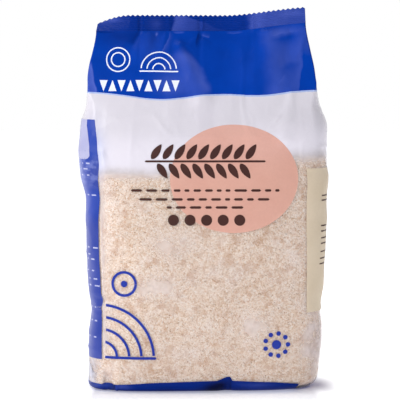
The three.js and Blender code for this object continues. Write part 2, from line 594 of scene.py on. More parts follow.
def grid_uv(rows: int, columns: int, closed: bool = False) -> Array:
    """Face-corner places of a grid, stretched over the unit square with a margin.

    Args:
        rows: how many rows of points.
        columns: how many points in a row.
        closed: the rows are closed.

    Returns:
        One place for each face corner.
    """
    last = columns if closed else columns - 1
    u = np.linspace(BAKE_MARGIN, 1.0 - BAKE_MARGIN, last + 1)
    v = np.linspace(BAKE_MARGIN, 1.0 - BAKE_MARGIN, rows)
    left, low = np.meshgrid(u[:-1], v[:-1])
    right, high = np.meshgrid(u[1:], v[1:])
    corners = [(left, low), (right, low), (right, high), (left, high)]
    return np.stack([np.stack(c, axis=-1) for c in corners], axis=2).reshape(-1, 2)


def ring_body(rows: Sequence[Array], top: bool = False) -> tuple[Array, list[list[int]], Array]:
    """Joins closed rings, lowest first, and shuts the lowest one.

    Args:
        rows: rings of equal length, anticlockwise when seen from above.
        top: shut the highest ring too.

    Returns:
        Points, faces, and the face corners' bake places.
    """
    count = len(rows[0])
    faces = grid_faces(len(rows), count, True).tolist()
    turn = np.arange(count) / count * TAU
    spot = np.stack([np.cos(turn), np.sin(turn)], axis=-1) * CAP_RADIUS + CAP_MIDDLE
    faces.append(list(range(count))[::-1])
    places = [grid_uv(len(rows), count, True), spot[::-1]]
    if top:
        faces.append(list(range((len(rows) - 1) * count, len(rows) * count)))
        places.append(spot + [0.0, 1.0 - BAKE_MARGIN])
    return np.concatenate(rows), faces, np.concatenate(places)


def set_attribute(made: bpy.types.Object, name: str, values: Array) -> None:
    """Stores one number for each vertex under a name."""
    attribute = made.data.attributes.new(name, "FLOAT", "POINT")
    attribute.data.foreach_set("value", np.asarray(values, dtype=np.float32).ravel())


# -------------------------------------------------------------- nodes and materials


@dataclass(frozen=True)
class Finish:
    """The constants of a plain surface."""

    name: str
    colour: Colour
    roughness: float = 0.75
    specular: float = 0.2


class Sock:
    """A node's output that takes part in arithmetic."""

    def __init__(self, graph: NodeGraph, socket: bpy.types.NodeSocket) -> None:
        """Keeps the socket, and the graph that arithmetic on it grows."""
        self.graph, self.socket = graph, socket

    def __add__(self, other: Any) -> Sock:
        """Sum."""
        return self.graph.math("ADD", self, other)

    __radd__ = __add__

    def __sub__(self, other: Any) -> Sock:
        """Difference."""
        return self.graph.math("SUBTRACT", self, other)

    def __rsub__(self, other: Any) -> Sock:
        """Difference from a number, as in 1 - mask."""
        return self.graph.math("SUBTRACT", other, self)

    def __mul__(self, other: Any) -> Sock:
        """Product."""
        return self.graph.math("MULTIPLY", self, other)

    __rmul__ = __mul__

    def __truediv__(self, other: Any) -> Sock:
        """Quotient."""
        return self.graph.math("DIVIDE", self, other)

    def __rtruediv__(self, other: Any) -> Sock:
        """A number over this."""
        return self.graph.math("DIVIDE", other, self)

    def __rpow__(self, other: Any) -> Sock:
        """A number to the power of this."""
        return self.graph.math("POWER", other, self)


class NodeGraph:
    """Adds nodes to a tree of any kind."""

    def __init__(self, tree: bpy.types.NodeTree) -> None:
        """Takes a tree over and empties it."""
        self.tree = tree
        tree.nodes.clear()

    def feed(self, socket: bpy.types.NodeSocket, value: Any) -> None:
        """Links an input or sets a constant on it.

        Args:
            socket: the input.
            value: a Sock to link, or the constant; a colour may leave out its alpha.
        """
        if isinstance(value, Sock):
            self.tree.links.new(value.socket, socket)
        elif socket.type == "RGBA" and len(value) == 3:
            socket.default_value = (*value, 1.0)
        else:
            socket.default_value = value

    def add(self, kind: str, settings: dict[str, Any] | None = None,
            *values: Any, **inputs: Any) -> bpy.types.Node:
        """Adds a node.

        Args:
            kind: the node's type name.
            settings: its own properties, set first; `stops` fills a colour ramp.
            *values: what its first inputs take, in order.
            **inputs: what its inputs take by name, with _ in place of spaces.

        Returns:
            The node.
        """
        made = self.tree.nodes.new(kind)
        for key, value in (settings or {}).items():
            if key == "stops":
                self._fill_ramp(made.color_ramp, value)
            else:
                setattr(made, key, value)
        for socket, value in zip(made.inputs, values):
            self.feed(socket, value)
        for key, value in inputs.items():
            self.feed(self._find(made.inputs, key.replace("_", " ")), value)
        return made

    def out(self, made: bpy.types.Node, output: str | int = 0) -> Sock:
        """One output of a node, by its name or number.

        Args:
            made: the node.
            output: the name or number.

        Returns:
            The output.
        """
        if isinstance(output, int):
            return Sock(self, made.outputs[output])
        return Sock(self, self._find(made.outputs, output))

    def node(self, kind: str, output: str | int = 0, settings: dict[str, Any] | None = None,
             *values: Any, **inputs: Any) -> Sock:
        """Adds a node, as `add` does, and returns one of its outputs."""
        return self.out(self.add(kind, settings, *values, **inputs), output)

    def math(self, operation: str, *values: Any) -> Sock:
        """A Math node."""
        return self.node("ShaderNodeMath", 0, {"operation": operation}, *values)

    def between(self, value: Any, low: float, high: float) -> Sock:
        """0 below low, 1 above high, smooth between.

        Args:
            value: what is measured.
            low: where the result is 0.
            high: where it is 1; it may be the lower of the two.

        Returns:
            0 to 1.
        """
        return self.node("ShaderNodeMapRange", "Result", {"interpolation_type": "SMOOTHSTEP"},
                         Value=value, From_Min=low, From_Max=high)

    @staticmethod
    def _find(sockets: Iterable[bpy.types.NodeSocket], name: str) -> bpy.types.NodeSocket:
        """The socket of a name that the node's settings leave in use."""
        return next(socket for socket in sockets if socket.name == name and socket.enabled)

    @staticmethod
    def _fill_ramp(band: bpy.types.ColorRamp, stops: Sequence[tuple[float, Colour]]) -> None:
        """Gives a colour ramp its stops, each a place and a colour.

        Args:
            band: the ramp, with its first two stops.
            stops: places, 0 to 1, and colours.
        """
        while len(band.elements) < len(stops):
            band.elements.new(0.5)
        for element, (place, colour) in zip(band.elements, stops):
            element.position, element.color = place, (*colour, 1.0)


class ShaderGraph(NodeGraph):
    """Builds one material's node tree."""

    def __init__(self, name: str) -> None:
        """Makes an empty material.

        Args:
            name: the name of the material.
        """
        self.material = bpy.data.materials.new(name)
        self.material.use_nodes = True
        super().__init__(self.material.node_tree)
        self.place = self.node("ShaderNodeTexCoord", "Object")

    def blend(self, share: Any, a: Any, b: Any) -> Sock:
        """Mixes two colours."""
        return self.node("ShaderNodeMix", "Result", {"data_type": "RGBA"},
                         Factor=share, A=a, B=b)

    def axis(self, letter: str) -> Sock:
        """One object coordinate, in metres."""
        return self.node("ShaderNodeSeparateXYZ", letter, Vector=self.place)

    def noise(self, scale: float, detail: float = 2.0, offset: float = 0.0,
              stretch: tuple[float, float, float] = (1.0, 1.0, 1.0)) -> Sock:
        """Noise over object coordinates.

        Args:
            scale: cells a metre.
            detail: octaves.
            offset: how far the pattern is moved, for one unlike the others.
            stretch: share of the scale along each axis.

        Returns:
            0 to 1.
        """
        moved = self.node("ShaderNodeMapping", Vector=self.place, Location=(offset,) * 3,
                          Scale=stretch)
        return self.node("ShaderNodeTexNoise", "Fac", Vector=moved, Scale=scale, Detail=detail)

    def cells(self, scale: float, output: str = "Color", offset: float = 0.0) -> Sock:
        """Random cells over object coordinates."""
        moved = self.node("ShaderNodeMapping", Vector=self.place, Location=(offset,) * 3)
        return self.node("ShaderNodeTexVoronoi", output, Vector=moved, Scale=scale)

    def steps(self, value: Any, stops: Sequence[tuple[float, Colour]]) -> Sock:
        """A colour ramp."""
        return self.node("ShaderNodeValToRGB", "Color", {"stops": stops}, Fac=value)

    def bumped(self, height: Any, strength: float, distance: float) -> Sock:
        """A Bump node's normal, with distance in metres.

        Args:
            height: what rises and falls.
            strength: 0 to 1.
            distance: the height of 1, in metres.

        Returns:
            A normal.
        """
        return self.node("ShaderNodeBump", "Normal", Height=height, Strength=strength,
                         Distance=distance)

    def surface(self, **inputs: Any) -> Sock:
        """A Principled shader."""
        return self.node("ShaderNodeBsdfPrincipled", "BSDF", None, **inputs)

    def over(self, share: Any, under: Sock, top: Sock) -> Sock:
        """Mixes two shaders."""
        return self.node("ShaderNodeMixShader", 0, None, share, under, top)

    def finish(self, shader: Sock) -> bpy.types.Material:
        """Ends the material with a shader, and returns it."""
        self.add("ShaderNodeOutputMaterial", Surface=shader)
        return self.material


class GeoTree(NodeGraph):
    """Builds one Geometry Nodes tree and turns its result into a plain mesh."""

    KINDS = {float: "NodeSocketFloat", int: "NodeSocketInt"}

    def __init__(self, name: str, numbers: dict[str, float | int]) -> None:
        """Makes an empty tree.

        Args:
            name: the tree's name.
            numbers: its own inputs, with the values that they start from.
        """
        super().__init__(bpy.data.node_groups.new(name, "GeometryNodeTree"))
        face = self.tree.interface
        for way in ("INPUT", "OUTPUT"):
            face.new_socket("Geometry", in_out=way, socket_type="NodeSocketGeometry")
        self.names: dict[str, str] = {}
        for key, value in numbers.items():
            made = face.new_socket(key, in_out="INPUT", socket_type=self.KINDS[type(value)])
            made.default_value = value
            self.names[key] = made.identifier
        self.inlet = self.add("NodeGroupInput")

    def given(self, name: str) -> Sock:
        """One of the tree's own inputs."""
        return self.out(self.inlet, name)

    def named(self, name: str) -> Sock:
        """A stored number of the incoming mesh."""
        return self.node("GeometryNodeInputNamedAttribute", "Attribute",
                         {"data_type": "FLOAT"}, Name=name)

    def finish(self, geometry: Sock, material: bpy.types.Material) -> None:
        """Ends the tree: instances become mesh, and the mesh gets its material.

        Args:
            geometry: what the tree has made.
            material: what it is made of.
        """
        real = self.node("GeometryNodeRealizeInstances", Geometry=geometry)
        done = self.node("GeometryNodeSetMaterial", Geometry=real, Material=material)
        self.add("NodeGroupOutput", Geometry=done)

    def apply(self, source: bpy.types.Object, name: str, numbers: dict[str, float | int],
              keep_source: bool = False) -> bpy.types.Object:
        """Runs the tree on an object and returns its result as a new plain object.

        Args:
            source: the object whose mesh goes in.
            name: the new object's name.
            numbers: values for the tree's named inputs.
            keep_source: leave the source object in the scene.

        Returns:
            The new object.
        """
        modifier = source.modifiers.new("tree", "NODES")
        modifier.node_group = self.tree
        for key, value in numbers.items():
            modifier[self.names[key]] = value
        graph = bpy.context.evaluated_depsgraph_get()
        mesh = bpy.data.meshes.new_from_object(source.evaluated_get(graph))
        source.modifiers.remove(modifier)
        if not keep_source:
            old = source.data
            bpy.data.objects.remove(source)
            bpy.data.meshes.remove(old)
        mesh.name = name
        made = bpy.data.objects.new(name, mesh)
        bpy.context.scene.collection.objects.link(made)
        return made


@dataclass(frozen=True)
class Smudge:
    """A soft spot in the film or its print, in millimetres, used for haze, for painted sheen and
    for painted shade.
    """

    x: float
    z: float
    half_wide: float
    half_tall: float
    amount: float
    lean: float = 0.0

    def share(self, x: Sock, z: Sock) -> Sock:
        """How strong the spot is at a place; lean tips its top to the right.

        Args:
            x: sideways position, in metres.
            z: level, in metres.

        Returns:
            The amount in the middle, fading outwards.
        """
        rise = z - self.z * MM
        across = (x - self.x * MM - rise * self.lean) / (self.half_wide * MM)
        up = rise / (self.half_tall * MM)
        return SPOT_EDGE ** (across * across + up * up) * self.amount


@dataclass(frozen=True)
class Fold:
    """A fold's painted highlight or shade: a tone crisp on a line in (x, z) millimetres, fading to
    its left.

    Left is the side seen on the left by someone who goes from start to end.
    """

    start: tuple[float, float]
    end: tuple[float, float]
    fade: float
    amount: float
    bow: float = 0.0
    crisp: float = 0.5
    ends: float = 0.2

    def share(self, x: Sock, z: Sock) -> Sock:
        """How strong the tone is at a place; bow bends the line to its left.

        Args:
            x: sideways position, in metres.
            z: level, in metres.

        Returns:
            Up to the amount.
        """
        g, (x0, z0), (x1, z1) = x.graph, self.start, self.end
        length = math.hypot(x1 - x0, z1 - z0)
        ux, uz = (x1 - x0) / length, (z1 - z0) / length
        across, up = x - x0 * MM, z - z0 * MM
        run = (across * ux + up * uz) / (length * MM)
        off = up * ux - across * uz - run * (1.0 - run) * (4.0 * self.bow * MM)
        edge = g.between(off, -self.crisp * MM, self.crisp * MM)
        tail = math.exp(-1.0) ** (g.math("MAXIMUM", off, 0.0) / (self.fade * MM))
        window = g.between(run, 0.0, self.ends) * g.between(run, 1.0, 1.0 - self.ends)
        return edge * tail * window * self.amount


def total(spots: Sequence[Smudge | Fold], x: Sock, z: Sock) -> Sock:
    """The spots' shares together, kept between 0 and 1."""
    first, *rest = [spot.share(x, z) for spot in spots]
    return x.graph.math("MAXIMUM", x.graph.math("MINIMUM", sum(rest, first), 1.0), 0.0)


# Hazier places in the clear film.
SMUDGES = (
    Smudge(-36.0, 77.0, 22.0, 13.0, 0.32),
    Smudge(33.0, 48.0, 19.0, 13.0, 0.27),
    Smudge(-72.0, 44.0, 8.0, 34.0, 0.12),
    Smudge(-68.0, 128.0, 10.0, 34.0, 0.06),
    Smudge(82.0, 34.0, 12.0, 32.0, 0.70),
    Smudge(-20.0, 108.0, 30.0, 14.0, 0.18),
    Smudge(10.0, 88.0, 34.0, 12.0, 0.12),
    Smudge(64.0, 100.0, 12.0, 34.0, 0.12),
    Smudge(-10.0, 30.0, 24.0, 9.0, 0.12),
    Smudge(-85.0, 14.0, 15.0, 16.0, 0.90),
    Smudge(-77.5, 164.0, 3.5, 7.5, 0.5, -0.15),
)

# Painted shade and painted reflection in the film: the side print's blue reflected, with shade,
# next to the left fold; shade along that fold down to the foot; and shade at the lower left corner
# and at the lower right.
FOLD_SHADE_REFLECTION = Smudge(-80.0, 174.0, 10.0, 28.0, 0.60)
EDGE_SHADE = Fold((-76.6, 178.0), (-73.2, 24.0), 3.4, 0.50, 0.0, 0.4, 0.06)
CORNER_SHADE = Smudge(-84.0, 14.0, 17.0, 18.0, 1.0)
RIGHT_SHADE = Smudge(84.0, 34.0, 14.0, 36.0, 0.8)

# Painted sheen and painted shade on the blue print under the seal, laid into the ink as paler and
# deeper tones; below 0 takes paleness away.
NECK_PAINTED_SHEEN = (
    Fold((6.0, 216.0), (-19.0, 252.5), 11.0, 0.54, -3.8, 3.2, 0.2),
    Smudge(-24.0, 224.0, 14.0, 10.0, 0.34),
    Fold((45.0, 268.0), (48.4, 212.0), 50.0, 0.34, 2.0, 7.0, 0.1),
    Fold((69.1, 214.0), (73.5, 262.0), 6.0, 0.16, 0.0, 1.0, 0.35),
    Fold((74.2, 254.0), (69.4, 208.0), 30.0, -0.50, 0.0, 0.8, 0.35),
    Fold((73.0, 261.8), (49.0, 258.2), 3.8, -0.36, 0.0, 2.0, 0.4),
    Fold((72.0, 242.4), (52.0, 236.0), 4.8, -0.28, 0.0, 2.2, 0.45),
    Fold((48.0, 260.4), (71.0, 263.4), 2.4, 0.28, 0.0, 0.8, 0.35),
    Fold((61.0, 234.0), (53.0, 225.0), 1.6, 0.18, 0.0, 0.6, 0.4),
    Fold((-26.4, 264.5), (-31.0, 246.0), 1.1, 0.50, 0.8, 0.4),
    Fold((-1.5, 260.4), (5.0, 259.0), 0.9, 0.50, 0.0, 0.4),
    Fold((-24.5, 262.6), (-12.5, 263.2), 0.8, 0.50, 0.0, 0.4, 0.3),
    Fold((15.0, 262.2), (31.0, 262.4), 0.8, 0.38, 0.0, 0.4, 0.3),
    Fold((-78.0, 214.0), (-83.6, 243.0), 7.0, 0.80, 0.0, 0.9),
    Smudge(-36.0, 261.6, 1.4, 1.8, 0.75),
    Smudge(-40.0, 252.0, 14.0, 16.0, 0.10),
    Smudge(30.0, 232.0, 16.0, 14.0, 0.03),
)
NECK_PAINTED_SHADE = (
    Smudge(-64.0, 260.0, 24.0, 11.0, 0.62),
    Fold((-50.9, 252.0), (-46.2, 266.0), 7.0, 0.42, 0.0, 0.9),
    Fold((-3.2, 265.0), (-6.5, 252.0), 1.7, 0.85, 0.0, 0.5, 0.3),
    Fold((-20.0, 258.0), (-6.0, 250.0), 3.0, 0.25, 0.0, 1.0),
)
# Painted sheen and painted shade on the crimped seal; an amount below 0 takes paleness away.
SEAL_PAINTED_SHEEN = (
    Fold((-19.6, 278.0), (-26.0, 260.5), 16.0, 0.46, 0.0, 1.2, 0.05),
    Fold((31.0, 279.0), (36.5, 261.0), 6.0, 0.20, 0.0, 1.6, 0.05),
    Fold((34.0, 292.0), (37.2, 250.0), 90.0, 0.44, 0.0, 4.0, 0.05),
    Smudge(-72.0, 273.0, 12.0, 3.0, 0.55),
    Smudge(66.0, 277.0, 12.0, 3.5, 0.25),
    Smudge(-36.0, 269.0, 6.0, 7.0, 0.15),
    Smudge(76.0, 266.0, 5.0, 3.4, -0.40),
)
SEAL_PAINTED_SHADE = (
    Fold((-47.2, 262.0), (-45.8, 278.0), 1.3, 0.50, 0.0, 0.5, 0.05),
    Fold((-25.8, 262.0), (-20.9, 278.0), 1.6, 0.45, 0.0, 0.5, 0.05),
    Fold((-0.4, 278.0), (-1.6, 262.0), 1.8, 0.75, 0.0, 0.6, 0.05),
    Fold((33.5, 262.0), (28.5, 279.0), 5.0, 0.30, 0.0, 0.8, 0.05),
)
# Painted highlights and painted shade on the foot band, with the painted shadow under its pleat.
FOOT_PAINTED_SHEEN = (
    Smudge(-60.0, 4.0, 8.0, 3.0, 0.35),
    Fold((-64.5, 0.0), (-64.0, 6.5), 30.0, 0.15, 0.0, 0.4, 0.05),
    Smudge(-78.0, 4.0, 7.0, 1.6, 0.45),
    Smudge(40.0, 5.0, 18.0, 3.0, 0.22),
)
FOOT_PAINTED_SHADE = (
    Smudge(7.0, 2.6, 12.0, 6.5, 1.0, 0.25),
    Smudge(13.0, 5.0, 9.0, 5.0, 0.6, 0.4),
    Fold((-65.4, -1.0), (-64.2, 7.0), 2.4, 0.85, 0.0, 0.4, 0.05),
    Fold((-86.0, 2.0), (-70.0, 4.6), 1.4, 0.45, 0.0, 0.5),
    Fold((20.8, -1.0), (20.6, 12.0), 2.0, 0.35, 0.0, 0.3, 0.05),
)


class Finishes:
    """Every material of the bag, each made once."""

    BLUE = srgb(0, 57, 160)
    DEEP_BLUE = srgb(0, 48, 140)
    # The seal's blue: the print's blue painted darker, as painted shade.
    SEAL_SHADED_BLUE = srgb(0, 44, 134)
    SHEEN_BLUE = srgb(84, 102, 188)
    # The colour of the painted shade in the prints' folds.
    SHADE_BLUE = srgb(0, 32, 108)
    # The foot's blue: the print's blue painted darker, as painted shade.
    FOOT_SHADED_BLUE = srgb(0, 36, 122)
    SIDE_BLUE = srgb(22, 48, 138)
    # The gusset blue's painted sheen, where the side is seen at a glancing angle.
    SIDE_SHEEN = srgb(97, 104, 167)
    SALMON = srgb(221, 169, 153)
    BROWN = srgb(72, 46, 42)
    PALE = srgb(232, 234, 248)
    PANEL = srgb(184, 184, 210)
    RIM = srgb(176, 194, 238)
    SAND = srgb(224, 208, 184)

    def __init__(self) -> None:
        """Makes the materials, apart from the loose grains'."""
        self.film = self._film()
        self.blue = self._ink("blue_print", self.BLUE, self.DEEP_BLUE,
                              light=NECK_PAINTED_SHEEN, dark=NECK_PAINTED_SHADE)
        self.seal_blue = self._ink("seal_print", self.SEAL_SHADED_BLUE, srgb(0, 36, 116), 0.3,
                                   light=SEAL_PAINTED_SHEEN, dark=SEAL_PAINTED_SHADE)
        self.foot_blue = self._ink("foot_print", self.FOOT_SHADED_BLUE, srgb(0, 26, 94), 0.3,
                                   light=FOOT_PAINTED_SHEEN, dark=FOOT_PAINTED_SHADE,
                                   depth=srgb(1, 9, 54))
        self.rim = self._ink("rim_print", self.RIM, srgb(166, 184, 230), 0.4, 0.3)
        self.side_blue = self._side_ink()
        self.panel = self._ink("panel_print", self.PANEL, srgb(150, 150, 194), 0.4, 0.1)
        self.sand = self._ink("sand_print", self.SAND, srgb(214, 196, 168), 0.45, 0.2)
        self.salmon = self._ink("salmon_print", self.SALMON, srgb(216, 161, 145), 0.4, 0.22)
        self.brown = self._ink("brown_print", self.BROWN, srgb(60, 38, 36), 0.45, 0.06)
        self.pale = self._ink("pale_print", self.PALE, srgb(214, 220, 244), 0.4, 0.05)
        self.tick = self._ink("tick_print", srgb(206, 208, 238), srgb(186, 190, 228), 0.4, 0.35)
        self.line_blue = self._ink("line_print", srgb(40, 58, 152), srgb(30, 46, 136), 0.4)
        self.bed = self._oats()
        self.floor = self._floor()

    def _film(self) -> bpy.types.Material:
        """Hazy film, clearer where the oats press against it, with painted shade and a painted blue
        reflection near the left fold and painted shade at the lower left and the lower right.

        Returns:
            The material.
        """
        g = ShaderGraph("clear_film")
        x, z = g.axis("X"), g.axis("Z")
        ragged = (g.noise(60.0, 3.0, 12.0) - 0.5) * 0.012
        above = z - g.between(x, -0.020, 0.082) * 0.0125 + ragged
        empty = g.between(above, 0.152, 0.167)
        patch = g.between(g.noise(70.0, 3.0, 7.7), 0.35, 0.75)
        touching = patch * 0.09 + 0.09 + EDGE_SHADE.share(x, z) * 0.7
        broken = g.between(g.noise(100.0, 4.0, 15.0), 0.30, 0.68) * 1.25 + 0.15
        for smudge in SMUDGES:
            touching = touching + smudge.share(x, z) * broken
        shaded = g.between(above, 0.154, 0.164) * g.between(above, 0.195, 0.170)
        loose = 0.70 + g.noise(30.0, 2.0, 5.0, (1.0, 1.0, 0.4)) * 0.10 + shaded * 0.16
        share = touching + (loose - touching) * empty
        wrinkle = g.noise(160.0, 3.0, 2.0)
        normal = g.bumped(g.noise(900.0, 2.0) * (1.0 - empty) + wrinkle * 1.6, 0.3, 0.0004)
        milk = g.blend(empty, srgb(238, 228, 226), srgb(221, 216, 225))
        # Painted shade: the milk darkens at the lower left, the lower right and along the left
        # fold, and a painted blue reflection of the side's print lies next to that fold.
        milk = g.blend(CORNER_SHADE.share(x, z), milk, srgb(176, 174, 186))
        milk = g.blend(RIGHT_SHADE.share(x, z), milk, srgb(196, 180, 180))
        milk = g.blend(EDGE_SHADE.share(x, z) * (1.0 - empty), milk, srgb(150, 146, 172))
        haze = g.surface(
            Base_Color=g.blend(FOLD_SHADE_REFLECTION.share(x, z), milk, srgb(150, 168, 222)),
            Roughness=0.42, Specular_IOR_Level=0.2, Normal=normal,
        )
        clear = g.node("ShaderNodeBsdfTransparent", "BSDF", Color=(0.985, 0.985, 0.99))
        veil = g.over(share, clear, haze)
        gloss = g.node("ShaderNodeBsdfAnisotropic", "BSDF", Color=(1.0, 1.0, 1.0),
                       Roughness=0.22, Normal=normal)
        shine = g.node("ShaderNodeFresnel", "Fac", IOR=1.35, Normal=normal) * 0.55
        return g.finish(g.over(shine, veil, gloss))

    def _ink(self, name: str, colour: Colour, shade: Colour, roughness: float = 0.33,
             clear: float = 0.0, light: Sequence[Smudge | Fold] = (),
             dark: Sequence[Smudge | Fold] = (),
             depth: Colour | None = None) -> bpy.types.Material:
        """Ink under the film's gloss, with painted sheen and painted shade where they are given.

        Args:
            name: the material's name.
            colour: the ink.
            shade: the ink where it is laid thicker.
            roughness: of the film's face.
            clear: how much shows through the ink, from 0 to 1.
            light: places of painted sheen, where the ink is paled.
            dark: places of painted shade, where the ink is darkened.
            depth: the colour of the painted shade, if not the default dark blue.

        Returns:
            The material.
        """
        g = ShaderGraph(name)
        mottle = g.between(g.noise(55.0, 3.0, 1.7), 0.3, 0.75)
        fine = g.noise(600.0, 2.0, 4.0)
        tone = g.blend(mottle * 0.5 + fine * 0.14, colour, shade)
        # Painted sheen and painted shade: the light and shade of the film's folds laid into the
        # ink's colour.
        if light:
            x = g.axis("X") + (g.noise(70.0, 2.0, 31.0) - 0.5) * 0.007
            z = g.axis("Z") + (g.noise(80.0, 2.0, 33.0) - 0.5) * 0.005
            streaks = g.noise(90.0, 3.0, 21.0, (1.0, 1.0, 0.35)) * 0.9 + 0.55
            tone = g.blend(total(light, x, z) * streaks, tone, self.SHEEN_BLUE)
            tone = g.blend(total(dark, x, z), tone, depth or self.SHADE_BLUE)
        wrinkle = g.noise(140.0, 3.0, 2.0)
        normal = g.bumped(wrinkle + fine * 0.1, 0.3, 0.0004)
        face = g.surface(
            Base_Color=tone,
            Roughness=g.noise(40.0, 2.0, 9.0) * 0.14 + (roughness - 0.07),
            Specular_IOR_Level=0.07, Normal=normal,
        )
        if clear <= 0.0:
            return g.finish(face)
        glass = g.node("ShaderNodeBsdfTransparent", "BSDF")
        share = 1.0 - clear + (fine - 0.5) * 0.08
        return g.finish(g.over(share, glass, face))

    def _side_ink(self) -> bpy.types.Material:
        """The gusset's blue, deep along the front fold and paled round the side and over its bulge
        by painted sheen, with bands by level in a brighter blue.

        Returns:
            The material.
        """
        g = ShaderGraph("side_print")
        fine = g.noise(600.0, 2.0, 4.0)
        cloud = g.noise(45.0, 3.0, 3.3)
        z = g.axis("Z")
        # Painted sheen: the blue pales away from the front fold, where the side is seen at a
        # glancing angle.
        drawn = g.math("MAXIMUM", z - 0.10, 0.0) * 0.09
        away = g.between(g.axis("Y") - drawn + (cloud - 0.5) * 0.016, -0.041, -0.014)
        low = g.blend(away * 0.85 + fine * 0.1, self.SIDE_BLUE, self.SIDE_SHEEN)
        # Painted sheen over the side's bulge, mottled by noise; bands by level take a brighter
        # blue, also paled by the painted sheen away from the fold.
        bulge_mottle = g.between(g.noise(150.0, 3.0, 14.0, (1.0, 1.0, 1.6)), 0.42, 0.66)
        deep = g.between(z, 0.120, 0.134) * g.between(z, 0.153, 0.143)
        bulge_sheen = g.between(z, 0.147, 0.156) * g.between(z, 0.174, 0.166)
        high = g.blend(away * 0.8, srgb(20, 56, 152), srgb(100, 112, 190))
        tone = g.blend(deep * 0.75 + g.between(z, 0.160, 0.176), low, high)
        tone = g.blend(bulge_sheen * (bulge_mottle * 0.28 + away * 0.50), tone, srgb(146, 156, 212))
        return g.finish(g.surface(
            Base_Color=tone, Roughness=cloud * 0.16 + 0.28, Specular_IOR_Level=0.2,
            Normal=g.bumped(g.noise(140.0, 3.0, 2.0) + fine * 0.1, 0.35, 0.0004),
        ))

    def _oats(self) -> bpy.types.Material:
        """The bed of milled oats behind the loose grains.

        Returns:
            The material.
        """
        g = ShaderGraph("oat_bed")
        speck = g.node("ShaderNodeSeparateColor", "Red", Color=g.cells(820.0))
        second = g.node("ShaderNodeSeparateColor", "Green", Color=g.cells(1400.0, offset=0.3))
        tone = g.steps(speck * 0.7 + second * 0.3, (
            (0.05, srgb(196, 162, 128)), (0.22, srgb(224, 196, 168)),
            (0.55, srgb(240, 220, 200)), (0.85, srgb(250, 238, 226)),
        ))
        tone = self._clustered(g, tone)
        height = g.cells(820.0, "Distance")
        return g.finish(g.surface(
            Base_Color=tone, Roughness=0.85, Specular_IOR_Level=0.15,
            Normal=g.bumped(1.0 - height, 0.8, 0.0006),
        ))

    @staticmethod
    def _clustered(g: ShaderGraph, tone: Sock) -> Sock:
        """Warmer and floury clusters, a few millimetres wide, over the oats.

        Args:
            g: the graph.
            tone: the colour so far.

        Returns:
            The colour with its clusters.
        """
        warm = g.between(g.noise(150.0, 3.0, 6.0), 0.52, 0.70)
        floury = g.between(g.noise(110.0, 3.0, 26.0), 0.54, 0.72)
        tone = g.blend(0.09, tone, srgb(168, 132, 106))
        tone = g.blend(warm * 0.62, tone, srgb(200, 156, 118))
        return g.blend(floury * 0.42, tone, srgb(250, 240, 232))

    def grain(self, finish: Finish, spread: Colour) -> bpy.types.Material:
        """Loose grains, each with its own tone.

        Args:
            finish: name, main colour and surface.
            spread: the colour that some grains tend to.

        Returns:
            The material.
        """
        g = ShaderGraph(finish.name)
        own = g.node("ShaderNodeSeparateColor", "Blue", Color=g.cells(520.0, offset=0.7))
        tone = self._clustered(g, g.blend(own, finish.colour, spread))
        fine = g.noise(2600.0, 2.0)
        return g.finish(g.surface(
            Base_Color=tone, Roughness=fine * 0.2 + (finish.roughness - 0.1),
            Specular_IOR_Level=finish.specular, Normal=g.bumped(fine, 0.4, 0.0001),
        ))

    def _floor(self) -> bpy.types.Material:
        """A white floor whose glow is lowered close to the bag, a painted shadow round its foot and
        to its right.

        Returns:
            The material.
        """
        g = ShaderGraph("studio_floor")
        tone = g.blend(g.noise(3.0) * 0.02, (0.94, 0.94, 0.95), (0.9, 0.9, 0.91))
        x, y = g.axis("X"), g.axis("Y")
        # Painted shadow: the glow is lower close to the bag, over a wider reach in front and behind
        # than at the sides.
        lateral = g.math("MAXIMUM", g.math("ABSOLUTE", x) * 12.0 - 0.96, 0.0)
        before = g.math("MAXIMUM", g.math("ABSOLUTE", y) - 0.042, 0.0)
        gap = g.math("SQRT", lateral * lateral + before * before)
        level = g.between(gap, 0.0, 0.008) * 0.10 + g.between(gap, 0.004, 0.040) * 0.22
        level = level + g.between(gap, 0.02, 0.08) * 0.2 + 0.24
        level = level + g.between(x, -0.03, 0.05) * g.between(gap, 0.05, 0.0) * 0.08
        # Painted shadow: a darker patch next to the bag's right side.
        side_shadow = g.between(g.math("ABSOLUTE", y + 0.010), 0.042, 0.002)
        side_shadow = side_shadow * g.between(x, 0.104, 0.085) * g.between(x, 0.06, 0.07)
        glow = g.blend(level * (1.0 - side_shadow), (0.0, 0.0, 0.06), (1.0, 1.0, 1.0))
        return g.finish(g.surface(
            Base_Color=tone, Roughness=0.9, Specular_IOR_Level=0.1,
            Emission_Color=glow, Emission_Strength=1.0,
        ))


# --------------------------------------------------------------------------- pieces


class Piece:
    """Shared handling of everything that belongs to the bag."""

    def __init__(self, form: BagForm, finishes: Finishes) -> None:
        """Keeps the bag's form and its materials."""
        self.form, self.finishes = form, finishes

    def add(self, made: bpy.types.Object, material: bpy.types.Material) -> bpy.types.Object:
        """Gives a piece its material, ties it to the frame and reports it.

        Args:
            made: the piece.
            material: its only material.

        Returns:
            The piece.
        """
        made.data.materials.clear()
        made.data.materials.append(material)
        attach(made, "root")
        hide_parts("bag")
        triangles = sum(len(face.vertices) - 2 for face in made.data.polygons)
        LOG.info("%s: %d triangles", made.name, triangles)
        return made


@dataclass(frozen=True)
class SkinMesh:
    """How finely the film is meshed, in columns for each face of the bag."""

    front: int = 150
    side: int = 64
    back: int = 110
    clear_rows: int = 170
    neck_rows: int = 46

    def columns(self) -> Array:
        """The s values of one ring.

        Returns:
            Rising values, 0 to 4.
        """
        parts = [
            side + np.linspace(0.0, 1.0, count, endpoint=False)
            for side, count in zip(Side, (self.front, self.side, self.back, self.side))
        ]
        return np.concatenate(parts)


